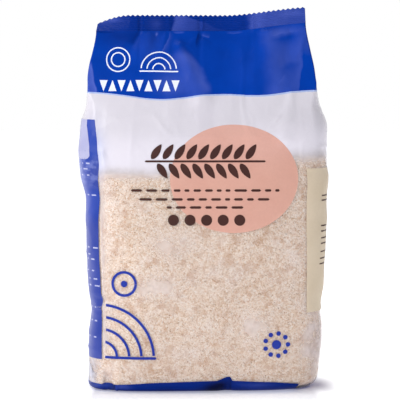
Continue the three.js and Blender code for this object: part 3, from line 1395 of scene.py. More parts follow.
class FilmSkin(Piece):
    """The clear film and the two printed bands, as parts of one surface."""

    WAIST = 120.0
    FOOT_LEVEL = 6.0
    RIM_LEVELS = ((-1.0,), (-0.5,), (0.1,))
    RIM_OUT = 0.1
    FOOT_SHARES = ((1.0,), (0.8,), (0.6,), (0.42,), (0.26,), (0.13,), (0.05,), (0.0,))
    UNDER_SHARES = (0.96, 0.02, 26)
    UNDER_RISE = 0.9
    UNDER_EDGE = 86.0
    FLAP_REACH = 40.0
    FLAP_RISE = 0.35
    STRIP_RISE = 0.45
    GROUND_GAP = 0.02

    def __init__(self, form: BagForm, finishes: Finishes, mesh: SkinMesh = SkinMesh()) -> None:
        """Finds where the print's edges run.

        Args:
            form: the bag's form.
            finishes: its materials.
            mesh: how finely the film is meshed.
        """
        super().__init__(form, finishes)
        self.mesh = mesh
        self.s = mesh.columns()
        foot_x, waist_x = (form.wall(self.s, np.full_like(self.s, level))[:, 0]
                           for level in (self.FOOT_LEVEL, self.WAIST))
        self.low = form.foot_edge(self.s, foot_x)
        self.high = form.band_edge(waist_x)

    def _shell(self, name: str, levels: Array, material: bpy.types.Material,
               out: float = 0.0) -> None:
        """Makes a piece of the film from rings.

        Args:
            name: the piece's name.
            levels: the rings' levels, one row for each ring.
            material: the piece's material.
            out: distance off the film.
        """
        points = self.form.skin(np.broadcast_to(self.s, levels.shape), levels, out)
        faces, uv = (make(*levels.shape, True) for make in (grid_faces, grid_uv))
        self.add(make_object(name, points.reshape(-1, 3), faces, uv), material)

    def build(self) -> None:
        """Makes the clear film, the upper print with its rim, and the foot."""
        finishes, mesh = self.finishes, self.mesh
        top = np.full_like(self.high, self.form.size.seal_foot)
        for name, count, low, high, material in (
            ("film_clear", mesh.clear_rows, self.low, self.high, finishes.film),
            ("film_neck", mesh.neck_rows, self.high, top, finishes.blue),
        ):
            self._shell(name, mix(low, high, np.linspace(0.0, 1.0, count)[:, None]), material)
        self._shell("print_rim", self.high + np.array(self.RIM_LEVELS), finishes.rim,
                    self.RIM_OUT)
        self._build_foot()

    def _build_foot(self) -> None:
        """The dark foot band, turned in under the bag and folded flat."""
        levels = np.array(self.FOOT_SHARES) * self.low
        rows = list(self.form.skin(np.broadcast_to(self.s, levels.shape), levels))
        rim = rows[-1]
        rim[:, 2] = 0.0
        middle = np.array([0.0, rim[:, 1].mean(), 0.0])
        for share in np.linspace(*self.UNDER_SHARES):
            rows.append(self._fold_relief(middle + (rim - middle) * share, share))
        self.add(make_object("film_foot", *ring_body(rows[::-1])), self.finishes.foot_blue)

    def _fold_relief(self, ring: Array, share: float) -> Array:
        """Raises the underside off the ground, with the block bottom's fold lines.

        Args:
            ring: a ring of the underside.
            share: its size, 1 at the rim.

        Returns:
            The raised ring.
        """
        x, y = ring[:, 0], ring[:, 1]
        inner = ramp(1.0 - share, 0.0, 0.12)
        fold = self.UNDER_EDGE - self.FLAP_REACH + np.abs(y)
        flap = self.FLAP_RISE * ramp(np.abs(x) - fold, -1.5, 1.5)
        strip = self.STRIP_RISE * ramp(np.abs(y + 6.0), 6.5, 5.0)
        strip = strip * ramp(np.abs(x), 78.0, 74.0)
        height = (self.UNDER_RISE - flap - strip) * inner
        return np.stack([x, y, np.maximum(height, self.GROUND_GAP)], axis=-1)


class TopSeal(Piece):
    """The crimped seal across the top, with ribs and a zig-zag cut edge."""

    COLUMNS_A_TOOTH = 8
    ROWS_A_RIB = 6
    TUCK = 1.2
    TOOTH_CUT = 0.92
    FOLDED_EXTRA = 0.16
    EDGE_THIN = 0.6

    def _middle(self, across: Array, up: Array) -> Array:
        """The seal's middle surface, before its thickness.

        Args:
            across: -1 at the left end to 1 at the right.
            up: height over the seal's foot.

        Returns:
            Points in millimetres, shape (..., 3).
        """
        size = self.form.size
        x = across * (size.seal_half_width - 0.6 * up / size.seal_tall)
        x = x + self.form.drift(np.float64(size.seal_foot))
        start = size.curl_start
        bend = size.corner_curl * np.clip((-across - start) / (1.0 - start), 0.0, 1.0)
        shift = size.centre_shift
        y = self.form.wave(x) + up * np.sin(bend)
        z = size.seal_foot + self.form.lift(x) + up * np.cos(bend)
        return np.stack([x + shift[0], y + shift[1], z], axis=-1)

    def build(self) -> None:
        """Makes the plate, then raises its ribs with a node tree."""
        size = self.form.size
        across = np.linspace(-1.0, 1.0, size.teeth * self.COLUMNS_A_TOOTH + 1)
        body = size.seal_tall - size.tooth_tall
        up = np.concatenate([[-self.TUCK], np.linspace(0.0, body, size.ribs * self.ROWS_A_RIB + 1)])
        tooth = np.abs((across + 1.0) * size.teeth / 2.0 % 1.0 * 2.0 - 1.0)
        edge = body + size.tooth_tall * (1.0 - self.TOOTH_CUT * tooth)
        flat = np.broadcast_to(up[:, None], (len(up), len(across)))
        heights = np.concatenate([flat, edge[None]])
        middle = self._middle(np.broadcast_to(across, heights.shape), heights)
        folded = self.FOLDED_EXTRA * ramp(np.abs(across * size.seal_half_width + 4.0), 41.5, 43.0)
        half = (size.seal_half_thick + folded)[None, :] * np.ones_like(heights)
        half[-1] *= self.EDGE_THIN
        thick = np.stack([np.zeros_like(half), half, np.zeros_like(half)], axis=-1)
        rings = np.concatenate([middle - thick, (middle + thick)[:, ::-1]], axis=1)
        rows, columns = rings.shape[:2]
        faces = grid_faces(rows, columns, True).tolist()
        half_count = columns // 2
        for start, flip in ((0, True), ((rows - 1) * columns, False)):
            for i in range(half_count - 1):
                quad = [start + i, start + i + 1, start + columns - 2 - i, start + columns - 1 - i]
                faces.append(quad[::-1] if flip else quad)
        made = make_object("top_seal", rings.reshape(-1, 3), faces)
        phase = np.clip(heights, 0.0, body) / body * size.ribs
        inner = ((heights > 0.0) & (heights < body)).astype(float)
        way = np.concatenate([-inner, inner[:, ::-1]], axis=1)
        set_attribute(made, "rib_phase", np.concatenate([phase, phase[:, ::-1]], axis=1))
        set_attribute(made, "rib_way", way)
        tree = GeoTree("raise_ribs", {"Rise": size.rib_rise * MM})
        wave = tree.math("COSINE", tree.named("rib_phase") * TAU)
        height = tree.math("MULTIPLY_ADD", wave, -0.5, 0.5)
        height = height * tree.named("rib_way") * tree.given("Rise")
        moved = tree.node("GeometryNodeSetPosition", Geometry=tree.given("Geometry"),
                          Offset=tree.node("ShaderNodeCombineXYZ", Y=height))
        tree.finish(moved, self.finishes.seal_blue)
        self.add(tree.apply(made, "top_seal", {}), self.finishes.seal_blue)


class Sheet:
    """A face of the bag that print is laid on, in its own flat coordinates."""

    def __init__(self, form: BagForm, side: Side) -> None:
        """Takes one side of the bag."""
        self.form, self.side = form, side

    def place(self, u: Array, v: Array, out: float) -> Array:
        """Lays flat points on the film.

        Args:
            u: millimetres across the front, or a share -1 to 1 across another side.
            v: level in millimetres.
            out: distance off the film.

        Returns:
            Points in millimetres, shape (..., 3).
        """
        if self.side == Side.FRONT:
            s = self.form.s_of_front(u, v)
        else:
            s = self.form.s_of_side(self.side, u)
        return self.form.skin(s, v, out)


@dataclass(frozen=True)
class Patch:
    """A grid of flat points that becomes a patch of print."""

    u: Array
    v: Array
    closed: bool = False


class Motif:
    """Flat shapes that the print is made of, with points about STEP apart on a line."""

    STEP = 0.8

    @staticmethod
    def disc(cu: float, cv: float, ru: float, rv: float, count: int = 24) -> Patch:
        """A filled ellipse, as a square grid bent round.

        Args:
            cu: its middle, across.
            cv: its middle, up.
            ru: half its width.
            rv: half its height.
            count: points along a side of the grid.

        Returns:
            The patch.
        """
        a, b = np.meshgrid(np.linspace(-1, 1, count), np.linspace(-1, 1, count))
        u = a * np.sqrt(1.0 - b * b / 2.0)
        v = b * np.sqrt(1.0 - a * a / 2.0)
        return Patch(cu + u * ru, cv + v * rv)

    @staticmethod
    def stroke(path: Array, half: float | Array, across: int = 4) -> Patch:
        """A line of given half width along a path of (u, v) points.

        Args:
            path: shape (n, 2).
            half: the half width, or one for each point.
            across: how many points lie across the line.

        Returns:
            The patch.
        """
        along = unit(np.gradient(path, axis=0))
        normal = np.stack([-along[:, 1], along[:, 0]], axis=1)
        share = np.linspace(-1.0, 1.0, across)[:, None, None]
        reach = np.broadcast_to(half, (len(path),))[:, None]
        grid = path + normal * reach * share
        return Patch(grid[..., 0], grid[..., 1])

    @staticmethod
    def straight(u: float, v: float, length: float, turn: float, run: Array) -> Array:
        """Points at shares of a straight line from (u, v)."""
        return np.stack([u + run * length * math.cos(turn), v + run * length * math.sin(turn)], 1)

    @staticmethod
    def bar(u: float, v: float, length: float, half: float, turn: float = 0.0) -> Patch:
        """A straight bar with round ends, from its left end.

        Args:
            u: its left end, across.
            v: its left end, up.
            length: from end to end.
            half: half its width.
            turn: its angle to the level.

        Returns:
            The patch.
        """
        count = max(8, int(length / Motif.STEP))
        run = np.linspace(0.0, 1.0, count)
        end = np.clip(np.minimum(run, 1.0 - run) * length / half, 0.0, 1.0)
        width = half * np.sqrt(1.0 - (1.0 - end) ** 2) + 0.03
        return Motif.stroke(Motif.straight(u, v, length, turn, run), width)

    @staticmethod
    def kernel(u: float, v: float, length: float, half: float, turn: float) -> Patch:
        """A pointed grain shape, from its foot.

        Args:
            u: its foot, across.
            v: its foot, up.
            length: from foot to tip.
            half: half its width.
            turn: its angle to the level.

        Returns:
            The patch.
        """
        run = np.linspace(0.0, 1.0, 16)
        width = half * np.sin(np.pi * run**0.8) ** 0.75 + 0.03
        return Motif.stroke(Motif.straight(u, v, length, turn, run), width, 5)

    @staticmethod
    def arc(u: float, v: float, radius: float, start: float, end: float, half: float) -> Patch:
        """A line along part of a circle, angles in degrees.

        Args:
            u: the circle's middle, across.
            v: the circle's middle, up.
            radius: the circle's.
            start: first angle.
            end: last angle.
            half: half the line's width.

        Returns:
            The patch.
        """
        count = max(12, int(radius * math.radians(abs(end - start)) / Motif.STEP))
        angle = np.radians(np.linspace(start, end, count))
        path = np.stack([u + radius * np.cos(angle), v + radius * np.sin(angle)], axis=1)
        return Motif.stroke(path, half)

    @staticmethod
    def field(edges: Callable[[Array], tuple[Array, Array]], low: float, high: float,
              rows: int, columns: int) -> Patch:
        """A field of print between two edges that change with level.

        Args:
            edges: gives the left and right edge at levels.
            low: lowest level.
            high: highest level.
            rows: points up.
            columns: points across.

        Returns:
            The patch.
        """
        v = np.linspace(low, high, rows)[:, None]
        left, right = edges(v)
        u = mix(left, right, np.linspace(0.0, 1.0, columns)[None, :])
        return Patch(u, np.broadcast_to(v, u.shape))


class PrintLayer(Piece):
    """Print of one colour on one face of the bag, as one thin mesh.

    Each layer lies a little further off the film than the one under it.
    """

    def build(self, name: str, sheet: Sheet, patches: Sequence[Patch],
              material: bpy.types.Material, out: float) -> bpy.types.Object:
        """Lays patches on the film and joins them.

        Args:
            name: the piece's name.
            sheet: the face to print on.
            patches: the flat shapes.
            material: the ink.
            out: distance off the film, in millimetres.

        Returns:
            The piece.
        """
        points, faces, places, start = [], [], [], 0
        side = math.ceil(math.sqrt(len(patches)))
        for number, patch in enumerate(patches):
            rows, columns = patch.u.shape
            grid = sheet.place(patch.u, patch.v, out)
            points.append(grid.reshape(-1, 3))
            faces.append(self._outwards(grid, grid_faces(rows, columns)) + start)
            cell = np.array([number % side, number // side])
            places.append((grid_uv(rows, columns) + cell) / side)
            start += rows * columns
        made = make_object(name, np.concatenate(points), np.concatenate(faces),
                           np.concatenate(places))
        return self.add(made, material)

    @staticmethod
    def _outwards(grid: Array, faces: Array) -> Array:
        """Turns the faces of a patch round if they look into the bag.

        Args:
            grid: the laid points.
            faces: their faces.

        Returns:
            The faces, all turned or none.
        """
        flat = grid.reshape(-1, 3)
        a, b, d = (flat[faces[:, k]] for k in (0, 1, 3))
        normal = np.cross(b - a, d - a).sum(axis=0)
        middle = flat.mean(axis=0)
        return faces if normal[0] * middle[0] + normal[1] * middle[1] > 0 else faces[:, ::-1]


class FrontPrint(Piece):
    """The front's print: a warm disc, a lying ear of grain, dashes and furrows."""

    def build(self) -> None:
        """Makes each colour's layer."""
        layer = PrintLayer(self.form, self.finishes)
        sheet = Sheet(self.form, Side.FRONT)
        disc = Motif.disc(22.0, 156.6, 46.6, 39.2, 72)
        layer.build("print_disc", sheet, [disc], self.finishes.salmon, 0.12)
        layer.build("print_ear", sheet, self._ear() + self._dashes(), self.finishes.brown, 0.24)
        layer.build("print_furrows", sheet, self._furrows() + self._mark(),
                    self.finishes.line_blue, 0.14)
        layer.build("print_band_marks", sheet, self._band_marks(), self.finishes.pale, 0.14)

    def _ear(self) -> list[Patch]:
        """An ear of grain lying on its side.

        Returns:
            Its patches.
        """
        shapes = [Motif.bar(-43.0, 169.0, 88.0, 0.7)]
        for k in range(9):
            u = -38.0 + 8.6 * k
            shapes.append(Motif.kernel(u, 170.6, 13.0, 2.6, math.radians(56)))
            if k < 8:
                shapes.append(Motif.kernel(u + 4.3, 167.4, 13.0, 2.6, math.radians(-56)))
        return shapes

    def _dashes(self) -> list[Patch]:
        """Three rows of short strokes and a row of dots.

        Returns:
            Their patches.
        """
        rng = np.random.default_rng(5)
        shapes = []
        for level, u, end in ((148.0, -53.0, 55.0), (141.6, -47.0, 49.0), (135.8, -27.0, 29.0)):
            while u < end - 3.0:
                length = min(float(rng.uniform(3.5, 9.5)), end - u)
                shapes.append(Motif.bar(u, level, length, 0.85))
                u += length + 2.6
        shapes += [Motif.disc(-22.0 + 12.0 * k, 126.6, 4.0, 4.0, 10) for k in range(5)]
        return shapes

    def _furrows(self) -> list[Patch]:
        """Quarter rings that spread from the lower left, with a ring above.

        Returns:
            Their patches.
        """
        shapes = [Motif.arc(-74.5, 26.0, r, 2, 88, 0.95) for r in (11.0, 20.0, 29.0, 38.0)]
        shapes.append(Motif.bar(-74.0, 25.4, 39.5, 0.95))
        shapes.append(Motif.arc(-58.0, 80.0, 8.5, 0, 359, 0.95))
        shapes.append(Motif.disc(-58.0, 80.0, 2.4, 2.4, 8))
        return shapes

    def _mark(self) -> list[Patch]:
        """A ring of dots at the lower right.

        Returns:
            Its patches.
        """
        shapes = []
        for k in range(9):
            angle = TAU * k / 9
            shapes.append(Motif.disc(53.0 + 8.4 * math.cos(angle), 35.5 + 8.4 * math.sin(angle),
                                     1.7, 1.7, 7))
        shapes.append(Motif.disc(53.0, 35.5, 3.4, 3.4, 9))
        return shapes

    def _band_marks(self) -> list[Patch]:
        """White line drawings on the upper print, over a row of triangles.

        Returns:
            Their patches.
        """
        shapes = [Motif.arc(-63.0, 242.5, radius, 0, 359, 0.45) for radius in (8.6, 5.0)]
        shapes += [Motif.arc(-33.0, 235.0, 4.5 + 4.2 * k, 5, 175, 0.45) for k in range(3)]
        shapes.append(Motif.bar(-47.5, 234.0, 29.0, 0.45))
        for k in range(9):
            foot, turn = (219.6, math.pi / 2) if k % 2 else (227.6, -math.pi / 2)
            run = np.linspace(0.0, 1.0, 10)
            path = Motif.straight(-73.5 + 6.6 * k, foot, 8.0, turn, run)
            shapes.append(Motif.stroke(path, 2.9 * (1.0 - run) + 0.05, 5))
        return shapes


class SidePrint(Piece):
    """The fields of print on the two gussets."""

    def build(self) -> None:
        """Makes the left and right fields with their small marks."""
        layer = PrintLayer(self.form, self.finishes)
        left, right = Sheet(self.form, Side.LEFT), Sheet(self.form, Side.RIGHT)
        blue = Motif.field(self._left_edges, 23.5, 199.0, 130, 56)
        layer.build("print_left_field", left, [blue], self.finishes.side_blue, 0.12)
        panel = Motif.field(self._panel_edges, 170.0, 199.0, 60, 30)
        layer.build("print_left_panel", left, [panel], self.finishes.panel, 0.22)
        rows = (166.5, 162.5, 158.0, 143.5, 105.0, 100.0, 96.5, 88.0, 82.0, 77.0, 61.0, 51.0, 39.0)
        layer.build("print_left_ticks", left, self._dashes(rows), self.finishes.tick, 0.22)
        sand = Motif.field(self._right_edges, 58.5, 163.5, 84, 56)
        layer.build("print_right_field", right, [sand], self.finishes.sand, 0.12)
        rows = (143.0, 139.5, 121.0, 117.0, 112.0, 108.0, 102.0, 97.0, 93.0)
        layer.build("print_right_ticks", right, self._ticks(rows, -0.82, 0.5),
                    self.finishes.brown, 0.22)

    @staticmethod
    def _left_edges(v: Array) -> tuple[Array, Array]:
        """The blue field, which runs over the front fold above the filling."""
        wander = 0.018 * ramp(v, 60, 25) + 0.015 * bump(v, 67, 5) + 0.016 * bump(v, 166, 8)
        return np.full_like(v, -0.97), 0.945 + wander + 0.052 * ramp(v, 122, 168)

    @staticmethod
    def _right_edges(v: Array) -> tuple[Array, Array]:
        """The sand field, which laps a little onto the front."""
        return -1.03 + 0.03 * ramp(v, 125, 75), np.full_like(v, 0.97)

    @staticmethod
    def _panel_edges(v: Array) -> tuple[Array, Array]:
        """A panel with round lower corners on the blue field.

        Args:
            v: levels.

        Returns:
            Left and right edge, as shares of the side.
        """
        drop = np.clip((173.5 - v) / 3.5, 0.0, 1.0)
        inset = 0.08 * (1.0 - np.sqrt(np.clip(1.0 - drop**2, 0.0, 1.0)))
        return -0.55 + inset, 0.85 + 0.05 * ramp(v, 198, 178) - inset

    def _dashes(self, levels: Iterable[float]) -> list[Patch]:
        """Broken rows of short marks on the left gusset.

        Args:
            levels: the rows' levels.

        Returns:
            Their patches.
        """
        rng = np.random.default_rng(9)
        shapes = []
        for level in levels:
            u = -0.1
            while u < 0.86:
                long = float(rng.uniform(0.05, 0.14))
                shapes += self._ticks([level], u, long)
                u += long + float(rng.uniform(0.04, 0.1))
        return shapes

    def _ticks(self, levels: Iterable[float], start: float, length: float) -> list[Patch]:
        """Short level strokes, whose places across are shares of the side.

        Args:
            levels: the strokes' levels.
            start: the left end, as a share.
            length: the longest, as a share.

        Returns:
            Their patches.
        """
        shapes = []
        for k, level in enumerate(levels):
            long = length * (0.75 + 0.25 * math.sin(2.3 * k))
            u = np.linspace(start, start + long, 12)[None, :]
            v = np.array([level, level + 0.5, level + 1.0])[:, None]
            grid_u, grid_v = np.broadcast_arrays(u, v)
            shapes.append(Patch(grid_u, grid_v))
        return shapes


class BackSeam(Piece):
    """The lap seam down the back, where one edge of the film overlies the other."""

    def build(self) -> None:
        """Makes the strip, clear between the bands and blue on them."""
        form, size = self.form, self.form.size
        offsets = np.linspace(-1.0, 1.0, 13)
        rise = size.seam_rise * np.clip(1.0 - np.abs(offsets) ** 10, 0.04, 1.0)
        for name, low, high, material in (
            ("seam_clear", 7.2, 216.0, self.finishes.film),
            ("seam_blue", 216.0, size.seal_foot - 1.0, self.finishes.blue),
        ):
            rows = int((high - low) / 1.6)
            z = np.linspace(low, high, rows)[:, None]
            x = size.seam_middle - offsets[None, :] * size.seam_half_width
            s = 2.0 + form.s_of_front(-x + 2.0 * form.drift(z), z)
            points = form.skin(s, np.broadcast_to(z, s.shape), np.broadcast_to(rise, s.shape))
            faces, uv = (make(*s.shape) for make in (grid_faces, grid_uv))
            self.add(make_object(name, points.reshape(-1, 3), faces, uv), material)


@dataclass(frozen=True)
class GrainKind:
    """One kind of loose grain."""

    name: str
    colour: Colour
    spread: Colour
    size: tuple[float, float, float]
    count: int
    seed: int


GRAINS = (
    GrainKind("grain_cream", srgb(248, 235, 220), srgb(236, 214, 194), (1.6, 1.15, 0.6), 15500, 1),
    GrainKind("grain_tan", srgb(228, 196, 168), srgb(208, 168, 136), (1.5, 1.0, 0.5), 11500, 2),
    GrainKind("grain_flour", srgb(254, 249, 243), srgb(246, 236, 225), (1.2, 0.9, 0.5), 12500, 3),
    GrainKind("grain_husk", srgb(172, 126, 88), srgb(146, 106, 74), (2.1, 0.5, 0.25), 3000, 4),
    GrainKind("grain_grey", srgb(186, 166, 152), srgb(156, 136, 122), (1.0, 0.8, 0.4), 2000, 5),
)


class OatFilling(Piece):
    """Milled oats: a core with relief that follows the film, and loose grains on it."""

    GAP = 0.95
    BOTTOM = 1.2
    HEAP = 2.6
    COLUMNS = 330
    ROWS = 118
    TOP_SHARES = (0.985, 0.02, 52)
    BARE_ROWS = 6
    DENSE_TOP_ROWS = 34
    SPARSE = 0.25
    RIM_LEVEL = 160.0
    GRAIN_MESH = {"Segments": 5, "Rings": 2, "Radius": 0.5 * MM}
    GRAIN_VERTICES = 7
    GRAIN_RANGE = (0.62, 1.3)
    GRAIN_JITTER = 0.45 * MM
    WOBBLE_SCALE = 900.0
    CELL_RADIUS = 0.36

    def build(self) -> None:
        """Makes the core, then scatters each kind of grain over it."""
        core = self._core()
        self.add(core, self.finishes.bed)
        for kind in GRAINS:
            self._scatter(core, kind)

    def _core(self) -> bpy.types.Object:
        """A closed body, a little inside the film, with a rounded upper edge.

        Returns:
            The bed, with its share of loose grains stored as `bed`.
        """
        form = self.form
        s = np.linspace(0.0, 4.0, self.COLUMNS, endpoint=False)
        noise = SmoothNoise(41)
        edge = form.wall(s, np.full_like(s, self.RIM_LEVEL))
        top = form.fill_level(edge[:, 0]) + 1.6 * noise.layered(edge, 9.0, 2)
        share = np.linspace(0.0, 1.0, self.ROWS)[:, None]
        levels = mix(self.BOTTOM, top, share)
        away = self.GAP + 2.4 * ramp(share, 0.98, 1.0) ** 2 + 0.6 * ramp(levels, 7.0, 1.0)
        points = form.skin(np.broadcast_to(s, levels.shape), levels, -away)
        rows = list(self._roughen(points, noise))
        rim = rows[-1]
        middle = rim.mean(axis=0)
        for k in np.linspace(*self.TOP_SHARES):
            ring = middle + (rim - middle) * k
            flat = form.fill_level(ring[:, 0]) + self.HEAP * (1.0 - k**3)
            flat = flat + 1.0 * noise.layered(ring, 22.0, 3) + 0.3 * noise.at(ring, 1.6)
            ring[:, 2] = mix(rim[:, 2], flat, ramp(k, 1.0, 0.93))
            rows.append(ring)
        made = make_object("oat_bed", *ring_body(rows, top=True))
        bed = np.zeros((len(rows), self.COLUMNS))
        bed[self.BARE_ROWS:] = 1.0
        bed[self.ROWS + self.DENSE_TOP_ROWS:] = self.SPARSE
        set_attribute(made, "bed", bed)
        return made

    def _roughen(self, points: Array, noise: SmoothNoise) -> Array:
        """Adds the relief of packed grains.

        Args:
            points: rings of points.
            noise: where the relief comes from.

        Returns:
            The moved points.
        """
        out = points - points.mean(axis=1, keepdims=True)
        out[..., 2] = 0.0
        height = 0.16 * noise.at(points, 1.5) + 0.1 * noise.at(points + 50.0, 3.2) - 0.1
        return points + unit(out) * height[..., None]

    def _scatter(self, core: bpy.types.Object, kind: GrainKind) -> None:
        """Scatters one kind of grain with a node tree.

        Args:
            core: the bed, with its stored density.
            kind: the grain.
        """
        area = self._bed_area(core)
        material = self.finishes.grain(Finish(kind.name, kind.colour), kind.spread)
        tree = GeoTree("scatter_" + kind.name, {"Density": 1000.0, "Seed": 0})
        seed, vector = tree.given("Seed"), {"data_type": "FLOAT_VECTOR"}
        points = tree.add(
            "GeometryNodeDistributePointsOnFaces", {"distribute_method": "RANDOM"},
            Mesh=tree.given("Geometry"), Seed=seed,
            Density=tree.given("Density") * tree.named("bed"),
        )
        shape = tree.node("GeometryNodeMeshUVSphere", **self.GRAIN_MESH)
        turn = tree.node("FunctionNodeRandomValue", "Value", vector, Seed=seed,
                         Min=(-0.5, -0.5, 0.0), Max=(0.5, 0.5, TAU))
        spun = tree.node("FunctionNodeRotateRotation", 0, {"rotation_space": "LOCAL"},
                         Rotation=tree.out(points, "Rotation"),
                         Rotate_By=tree.node("FunctionNodeEulerToRotation", Euler=turn))
        small, large = (tuple(share * side for side in kind.size) for share in self.GRAIN_RANGE)
        scale = tree.node("FunctionNodeRandomValue", "Value", vector, Seed=seed,
                          Min=small, Max=large)
        spread = tree.node("GeometryNodeInstanceOnPoints", Points=tree.out(points, "Points"),
                           Instance=shape, Rotation=spun, Scale=scale)
        real = tree.node("GeometryNodeRealizeInstances", Geometry=spread)
        wobble = tree.node("ShaderNodeTexNoise", "Color", Scale=self.WOBBLE_SCALE,
                           Detail=0.0)
        jitter = tree.node("ShaderNodeVectorMath", 0, {"operation": "SUBTRACT"},
                           wobble, (0.5, 0.5, 0.5))
        jitter = tree.node("ShaderNodeVectorMath", 0, {"operation": "SCALE"}, jitter,
                           Scale=self.GRAIN_JITTER)
        moved = tree.node("GeometryNodeSetPosition", Geometry=real, Offset=jitter)
        tree.finish(moved, material)
        made = tree.apply(core, kind.name, {"Density": kind.count / area, "Seed": kind.seed}, True)
        self._cell_places(made.data)
        self.add(made, material)

    @staticmethod
    def _bed_area(core: bpy.types.Object) -> float:
        """Area that takes grains, in square metres, weighed by the stored density.

        Args:
            core: the bed.

        Returns:
            The weighed area.
        """
        weights = np.zeros(len(core.data.vertices), dtype=np.float32)
        core.data.attributes["bed"].data.foreach_get("value", weights)
        return sum(face.area * float(weights[face.vertices[0]]) for face in core.data.polygons)

    @staticmethod
    def _cell_places(mesh: bpy.types.Mesh) -> None:
        """Gives each grain its own small square of the exported colour map.

        Args:
            mesh: the grains, all alike and in order.
        """
        corners = len(mesh.loops)
        grains = max(1, len(mesh.vertices) // OatFilling.GRAIN_VERTICES)
        per = corners // grains
        side = math.ceil(math.sqrt(grains))
        number = np.minimum(np.arange(corners) // per, grains - 1)
        step = np.arange(corners) % per
        cell = np.stack([number % side, number // side], axis=1).astype(float)
        angle = step / per * TAU
        local = 0.5 + OatFilling.CELL_RADIUS * np.stack([np.cos(angle), np.sin(angle)], axis=1)
        while mesh.uv_layers:
            mesh.uv_layers.remove(mesh.uv_layers[0])
        layer = mesh.uv_layers.new(name=BAKE_MAP)
        layer.data.foreach_set("uv", ((cell + local) / side).astype(np.float32).ravel())


# --------------------------------------------------------------------------- studio


@dataclass(frozen=True)
class Lamp:
    """A soft studio lamp aimed at the bag."""

    name: str
    place: tuple[float, float, float]
    size: tuple[float, float]
    power: float
    colour: Colour = (1.0, 1.0, 1.0)


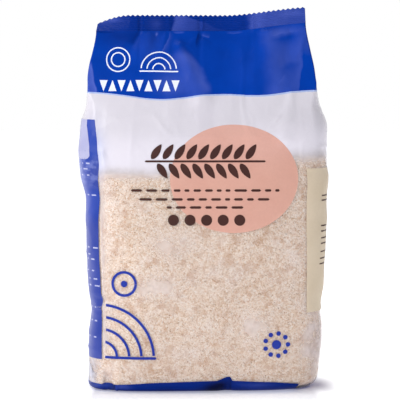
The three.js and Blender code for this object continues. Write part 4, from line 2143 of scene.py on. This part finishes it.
class Studio:
    """White room, soft lamps and the camera."""

    TARGET = Vector((-0.00277, 0.0, 0.1379))
    DISTANCE = 1.25
    ELEVATION = math.radians(4.5)
    LENS = 150.0
    WORLD_LIGHT = (0.1, 0.9, 0.6, 0.3)
    WORLD_COLOUR = (0.93, 0.95, 1.0)
    WHITE = (1.0, 1.0, 1.0)
    FLOOR_REACH = 5.0
    FLOOR_LEVEL = -0.0002
    SENSOR = 36.0
    GLOSS_WORLD = (-0.2, 0.6, 0.03, 0.9)
    LAMPS = (
        Lamp("lamp_left", (-1.25, -1.0, 0.75), (0.8, 1.0), 21.0),
        Lamp("lamp_right", (1.3, -0.8, 0.6), (0.4, 0.8), 2.0),
        Lamp("lamp_top", (-0.3, 0.25, 1.5), (1.0, 0.8), 6.0),
    )

    def __init__(self, finishes: Finishes) -> None:
        """Keeps the materials, for the floor's."""
        self.finishes = finishes

    def build(self) -> None:
        """Sets the floor, the world, the lamps and the camera."""
        bpy.context.scene.view_settings.view_transform = "Standard"
        self._floor()
        self._world()
        for lamp in self.LAMPS:
            self._lamp(lamp)
        self._spare_floor("lamp_left")
        self._camera()

    def _floor(self) -> None:
        """A wide flat floor, a hair under the bag."""
        mesh = bpy.data.meshes.new("studio_floor")
        corners = [(x * self.FLOOR_REACH, y * self.FLOOR_REACH, self.FLOOR_LEVEL)
                   for x, y in ((-1, -1), (1, -1), (1, 1), (-1, 1))]
        mesh.from_pydata(corners, [], [(0, 1, 2, 3)])
        mesh.materials.append(self.finishes.floor)
        floor = bpy.data.objects.new("studio_floor", mesh)
        bpy.context.scene.collection.objects.link(floor)

    def _world(self) -> None:
        """White to the camera; for gloss, dark in front of the bag and bright behind."""
        world = bpy.data.worlds.new("studio_world")
        bpy.context.scene.world = world
        world.use_nodes = True
        g = NodeGraph(world.node_tree)
        axes = g.add("ShaderNodeSeparateXYZ", Vector=g.node("ShaderNodeTexCoord", "Generated"))
        rays = g.add("ShaderNodeLightPath")

        def ground(colour: Sequence[float], axis: str, span: Sequence[float]) -> Sock:
            """Light whose strength changes along an axis.

            Args:
                colour: the light's colour.
                axis: X, Y or Z.
                span: the two places, then the two values.

            Returns:
                A background shader.
            """
            low, high, start, end = span
            strength = g.node("ShaderNodeMapRange", "Result", Value=g.out(axes, axis),
                              From_Min=low, From_Max=high, To_Min=start, To_Max=end)
            return g.node("ShaderNodeBackground", Color=colour, Strength=strength)

        seen = g.node("ShaderNodeBackground", Color=self.WHITE, Strength=1.0)
        shiny = ground(self.WHITE, "Y", self.GLOSS_WORLD)
        last = ground(self.WORLD_COLOUR, "Z", self.WORLD_LIGHT)
        for way, light in (("Is Glossy Ray", shiny), ("Is Camera Ray", seen)):
            last = g.node("ShaderNodeMixShader", 0, None, g.out(rays, way), last, light)
        g.add("ShaderNodeOutputWorld", Surface=last)

    def _lamp(self, lamp: Lamp) -> None:
        """Adds a lamp and turns it to the bag.

        Args:
            lamp: its place, size and power.
        """
        data = bpy.data.lights.new(lamp.name, "AREA")
        data.shape = "RECTANGLE"
        data.size, data.size_y = lamp.size
        data.energy, data.color = lamp.power, lamp.colour
        made = bpy.data.objects.new(lamp.name, data)
        made.location = lamp.place
        aim = self.TARGET - Vector(lamp.place)
        made.rotation_euler = aim.to_track_quat("-Z", "Y").to_euler()
        bpy.context.scene.collection.objects.link(made)

    def _spare_floor(self, lamp: str) -> None:
        """Keeps a lamp off the floor, so that the bag's own shadow stays small.

        Args:
            lamp: the lamp's name.
        """
        lit = bpy.data.collections.new("lit_by_" + lamp)
        lit.objects.link(bpy.data.objects["studio_floor"])
        lit.collection_objects[0].light_linking.link_state = "EXCLUDE"
        bpy.data.objects[lamp].light_linking.receiver_collection = lit

    def _camera(self) -> None:
        """Looks from the photograph's angle."""
        data = bpy.data.cameras.new("camera")
        data.lens, data.sensor_width = self.LENS, self.SENSOR
        made = bpy.data.objects.new("camera", data)
        back = Vector((0.0, -math.cos(self.ELEVATION), math.sin(self.ELEVATION)))
        made.location = self.TARGET + back * self.DISTANCE
        made.rotation_euler = (-back).to_track_quat("-Z", "Y").to_euler()
        bpy.context.scene.collection.objects.link(made)
        bpy.context.scene.camera = made


def main() -> None:
    """Builds the bag from the inside out, then the studio round it."""
    logging.basicConfig(level=logging.INFO, format="%(name)s %(message)s")
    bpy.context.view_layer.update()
    form = BagForm(BagSize())
    finishes = Finishes()
    OatFilling(form, finishes).build()
    FilmSkin(form, finishes).build()
    TopSeal(form, finishes).build()
    BackSeam(form, finishes).build()
    FrontPrint(form, finishes).build()
    SidePrint(form, finishes).build()
    Studio(finishes).build()


if __name__ == "__main__":
    main()
